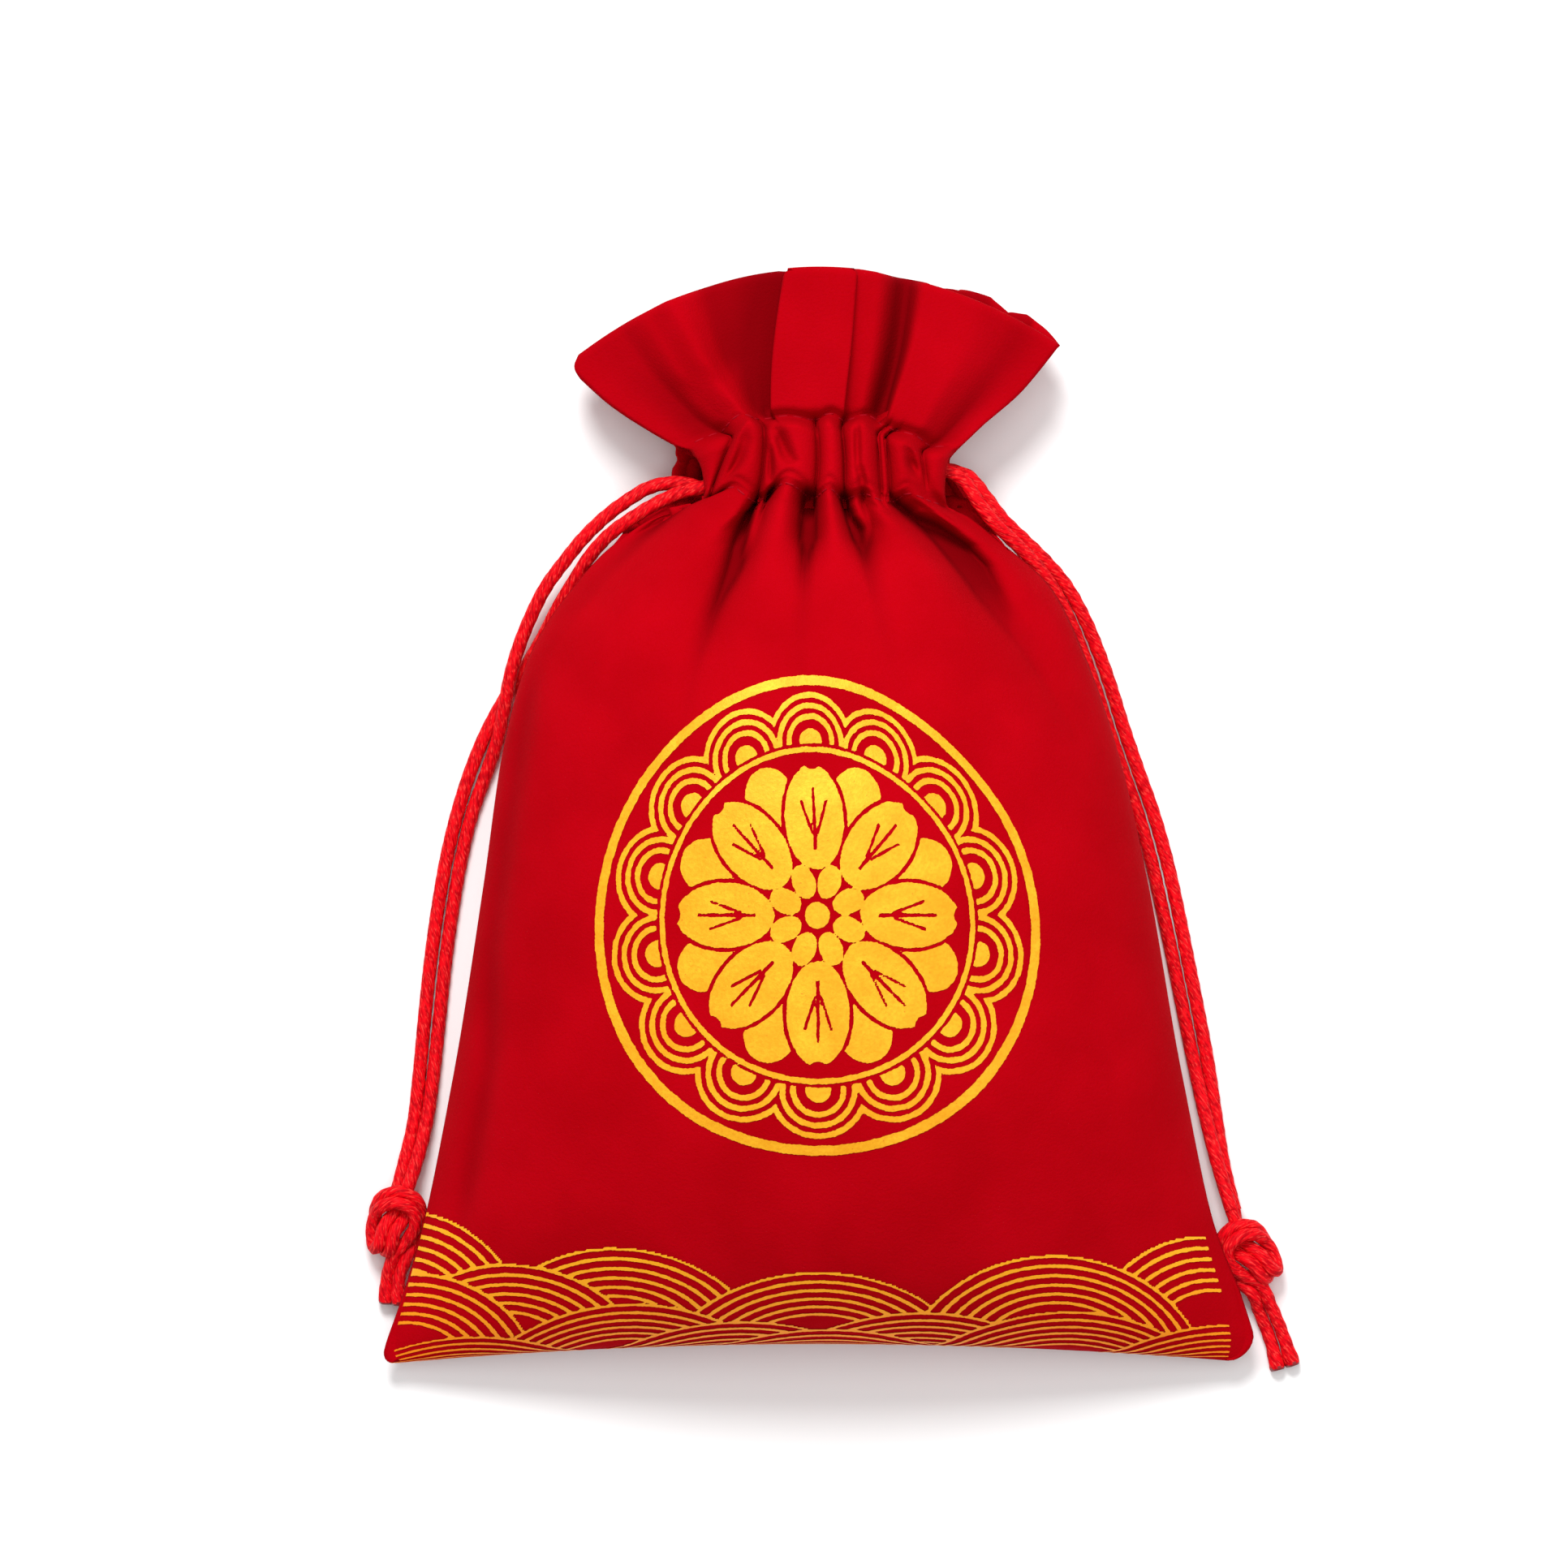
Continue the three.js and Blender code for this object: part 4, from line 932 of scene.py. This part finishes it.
def layTree():  # carries a flat print from the cloth's flat map onto the cloth
    tree, given = newTree("lay print on cloth", [
        ("Cloth", "NodeSocketObject"), ("Lift", "NodeSocketFloat"), ("Ink", "NodeSocketMaterial")])
    cloth = addNode(tree, "GeometryNodeObjectInfo", {"Object": given["Cloth"]}).outputs["Geometry"]
    clothMap = addNode(tree, "GeometryNodeInputNamedAttribute", {"Name": "flat"}, data_type="FLOAT_VECTOR")
    here = addNode(tree, "GeometryNodeInputPosition").outputs["Position"]
    normal = addNode(tree, "GeometryNodeInputNormal").outputs["Normal"]
    common = {"Mesh": cloth, "UV Map": clothMap.outputs["Attribute"], "Sample UV": here}
    spot, facing = (addNode(tree, "GeometryNodeSampleUVSurface", {"Value": value, **common},
                            data_type="FLOAT_VECTOR").outputs["Value"] for value in (here, normal))
    raised = addNode(tree, "ShaderNodeVectorMath", {"Vector": facing, "Scale": given["Lift"]},
                     operation="SCALE")
    laid = addNode(tree, "GeometryNodeSetPosition", {
        "Geometry": given["Geometry"], "Position": spot, "Offset": raised.outputs["Vector"]})
    endTree(tree, laid.outputs["Geometry"], given["Ink"])
    return tree


# gold print: a flower roundel and a border of waves, drawn on the flat cloth
roundel = {  # rings, shells between them, petals with veins, then what shows behind them and in the middle
    "y": -13.8, "ring": 34.3, "ringHalf": 0.75, "innerRing": 24.0, "innerHalf": 0.4,
    "scallops": 14, "scallopAt": 25.2, "arcs": (6.9, 5.3, 3.7), "arcHalf": 0.42, "dot": 1.9,
    "shells": (24.9, 33.0), "petals": 8, "petal": (14.2, 7.6, 4.7), "notch": (22.6, 1.5),
    "vein": (9.4, 18.5, 0.3), "taper": (12, 0.012), "sideVein": (11.6, 16.6, 0.24), "branch": (10.6, 0.34),
    "clear": (14.2, 8.2, 5.3), "behind": (18.2, 4.6, 4.0), "heart": 1.9, "small": (5.2, 2.5, 1.75),
}
waves = {  # tops of the waves on the bag, the back row first, and their size in the flat cloth
    "tops": [(-57.4, -58.5), (-30.0, -62.6), (0.4, -65.5), (56.1, -61.8), (-45.6, -64.8), (34.4, -63.4),
             (-58.8, -67.0), (-28.1, -70.4), (16.2, -71.7), (38.0, -71.7), (-11.0, -73.6), (1.6, -74.4),
             (61.6, -74.6), (-52.6, -76.3)],
    "radius": 21.0, "squash": 0.85, "lines": 6, "pitch": 2.0, "half": 0.34, "rightEnd": 61.0,
}
inkGrid = {"cell": 0.3, "lift": 0.00012, "side": 64.2, "low": 1.2, "above": 2, "below": 30}


def ragged(u, s):  # the uneven edge of ink on pile
    wide = np.sin(1.7 * u + 0.6 * np.sin(2.3 * s)) * np.sin(1.9 * s + 0.8 * np.sin(1.3 * u))
    fine = np.sin(7.3 * u + 2.1 * np.sin(5.1 * s)) * np.sin(6.7 * s + 1.7 * np.sin(4.7 * u))
    return 0.05 * wide + 0.07 * fine


def folded(angle, count, turn=0.0):  # angle from the middle line of its own sector
    step = 2 * math.pi / count
    return (angle - turn + step / 2) % step - step / 2


def leaf(aside, out, middle, length, width):  # positive inside a petal
    return (1 - np.hypot(aside / width, (out - middle) / length)) * min(width, length)


def roundelInk(u, s):  # positive where there is ink
    r, angle = np.hypot(u, s), np.arctan2(u, s)
    rings = np.maximum(roundel["ringHalf"] - np.abs(r - roundel["ring"]),
                       roundel["innerHalf"] - np.abs(r - roundel["innerRing"]))
    a = folded(angle, roundel["scallops"])
    away = np.hypot(r * np.sin(a), r * np.cos(a) - roundel["scallopAt"])
    arcs = [roundel["arcHalf"] - np.abs(away - k) for k in roundel["arcs"]]
    low, high = roundel["shells"]
    shells = np.minimum.reduce([np.max(arcs + [roundel["dot"] - away], axis=0), r - low, high - r])
    a = folded(angle, roundel["petals"])
    side, out = r * np.sin(a), r * np.cos(a)
    notchAt, notch = roundel["notch"]
    petal = np.minimum(leaf(side, out, *roundel["petal"]), np.hypot(side, out - notchAt) - notch)
    low, high, half = roundel["vein"]
    middle, taper = roundel["taper"]
    vein = np.minimum.reduce([half - np.abs(side) - taper * np.abs(out - middle), high - out, out - low])
    low, high, half = roundel["sideVein"]
    root, lean = roundel["branch"]
    for sign in (-1, 1):
        line = half - np.abs(side - sign * (out - root) * lean)
        vein = np.maximum(vein, np.minimum.reduce([line, high - out, out - low]))
    petal = np.minimum(petal, -vein)
    b = folded(angle, roundel["petals"], math.pi / roundel["petals"])
    sideB, outB = r * np.sin(b), r * np.cos(b)
    behind = np.minimum(leaf(sideB, outB, *roundel["behind"]), -leaf(side, out, *roundel["clear"]))
    heart = np.maximum(roundel["heart"] - r, leaf(sideB, outB, *roundel["small"]))
    return np.maximum.reduce([rings, shells, petal, behind, heart])


def waveInk(u, s, tops):  # sets of arcs, each over those behind it
    ink = np.full_like(u, -9.0)
    size, half = waves["radius"], waves["half"]
    for topU, topS in tops:
        away = np.hypot(u - topU, (s - topS) / waves["squash"] + size)
        rings = [half - np.abs(away - (size - k * waves["pitch"])) for k in range(waves["lines"])]
        ink = np.where(away < size + half, np.max(rings, axis=0), ink)
    return np.minimum(ink, waves["rightEnd"] - u)


def flatPlace(x, y):  # place in the flat cloth of a point of the bag seen from above
    away = np.hypot(frontLaid["panel"][:, :, 0] - x, frontLaid["panel"][:, :, 1] - y)
    away = np.where(frontLaid["row"]["y"] > inkGrid["below"], np.inf, away)  # not at the neck
    r, c = np.unravel_index(np.argmin(away), away.shape)
    return frontLaid["flat"][c], frontLaid["along"][r]


def clippedMesh(u, s, ink):  # triangles of a grid, cut along the ink's edge
    cells = gridQuads(*ink.shape)
    triangles = np.concatenate([cells[:, [0, 1, 2]], cells[:, [0, 2, 3]]])
    value = ink.ravel()
    place = np.stack([u.ravel(), s.ravel()], 1)
    inside = value[triangles] > 0
    count = inside.sum(1)
    whole = triangles[count == 3]

    def turned(chosen, first):
        order = (first[:, None] + np.arange(3)) % 3
        return np.take_along_axis(chosen, order, 1)

    one = turned(triangles[count == 1], np.argmax(inside[count == 1], 1))
    two = turned(triangles[count == 2], np.argmin(inside[count == 2], 1))
    edges = np.concatenate([one[:, [0, 1]], one[:, [0, 2]], two[:, [0, 1]], two[:, [0, 2]]])
    keys, index = np.unique(np.sort(edges, 1), axis=0, return_inverse=True)
    index = index.ravel() + len(value)
    t = value[keys[:, 0]] / (value[keys[:, 0]] - value[keys[:, 1]])
    onEdge = mix(place[keys[:, 0]], place[keys[:, 1]], t[:, None])
    n, m = len(one), len(two)
    oneB, oneC, twoB, twoC = index[:n], index[n:2 * n], index[2 * n:2 * n + m], index[2 * n + m:]
    faces = np.concatenate([whole, np.stack([one[:, 0], oneB, oneC], 1),
                            np.stack([twoB, two[:, 1], two[:, 2]], 1), np.stack([twoB, two[:, 2], twoC], 1)])
    used, faces = np.unique(faces, return_inverse=True)
    return np.concatenate([place, onEdge])[used], faces.reshape(-1, 3)


def printPiece():
    middleS = np.interp(roundel["y"], frontLaid["row"]["y"][:, 0], frontLaid["along"])
    us = np.arange(-inkGrid["side"], inkGrid["side"], inkGrid["cell"])
    ss = np.arange(inkGrid["low"], middleS + roundel["ring"] + inkGrid["above"], inkGrid["cell"])
    u, s = np.meshgrid(us, ss)
    tops = [flatPlace(x, y) for x, y in waves["tops"]]
    ink = np.maximum(roundelInk(u, s - middleS), waveInk(u, s, tops)) + ragged(u, s)
    places, faces = clippedMesh(u, s, ink)
    points = np.stack([*flatUv(places[:, 0], places[:, 1]), np.zeros(len(places))], 1) / mm
    flatPrint = meshPiece("flat_print", points, [faces], gold)
    return bakedPiece("gold_print", flatPrint, layTree(), {
        "Cloth": front, "Lift": inkGrid["lift"], "Ink": gold})


goldPrint = printPiece()
belong(goldPrint, "gold_print", "front_panel")
print("print", len(goldPrint.data.polygons), "triangles")


def stitchTree():  # short stitches along a line
    tree, given = newTree("stitches along a line", [
        ("Spacing", "NodeSocketFloat"), ("Length", "NodeSocketFloat"), ("Thickness", "NodeSocketFloat"),
        ("Thread", "NodeSocketMaterial")])
    line = addNode(tree, "GeometryNodeMeshToCurve", {"Mesh": given["Geometry"]}).outputs["Curve"]
    dots = addNode(tree, "GeometryNodeCurveToPoints", {"Curve": line, "Length": given["Spacing"]},
                   mode="LENGTH")
    bead = addNode(tree, "GeometryNodeMeshUVSphere", {"Segments": 8, "Rings": 6, "Radius": 0.5})
    size = addNode(tree, "ShaderNodeCombineXYZ", {
        "X": given["Thickness"], "Y": given["Thickness"], "Z": given["Length"]})
    placed = addNode(tree, "GeometryNodeInstanceOnPoints", {
        "Points": dots.outputs["Points"], "Instance": bead.outputs["Mesh"],
        "Rotation": dots.outputs["Rotation"], "Scale": size.outputs["Vector"]})
    endTree(tree, placed.outputs["Instances"], given["Thread"])
    return tree


stitching = {"Spacing": 0.0021, "Length": 0.0015, "Thickness": 0.0003}
stitchLine = {"levels": (46.9, 58.0), "sunk": 0.03, "margin": 6}  # Y, depth in the pile, columns left free
stitchNodes = stitchTree()
for name, laid, side, node in (("front_stitches", frontLaid, 1, "front_panel"),
                               ("back_stitches", backLaid, -1, "back_panel")):
    points, edges = [], []
    for level in stitchLine["levels"]:
        nearest = laid["panel"][np.argmin(np.abs(laid["row"]["y"] - level))]
        line = nearest[stitchLine["margin"]:-stitchLine["margin"]].copy()
        line[:, 2] -= side * stitchLine["sunk"]
        edges += [(len(points) + i, len(points) + i + 1) for i in range(len(line) - 1)]
        points += line.tolist()
    mesh = bpy.data.meshes.new(name + "_line")
    mesh.from_pydata([[v * mm for v in p] for p in points], edges, [])
    piece = bakedPiece(name, newObject(name + "_line", mesh), stitchNodes, {**stitching, "Thread": thread})
    belong(piece, "velvet", node)
    print(name, len(piece.data.polygons), "faces")

# floor: a wide sheet of paper under the bag
floorHalf = 3.0  # metres
floorMesh = bpy.data.meshes.new("floor")
floorCorners = [(x * floorHalf, y * floorHalf, 0) for x, y in ((-1, -1), (1, -1), (1, 1), (-1, 1))]
floorMesh.from_pydata(floorCorners, [], [(0, 1, 2, 3)])
floorMesh.materials.append(paper)
floor = newObject("floor", floorMesh)
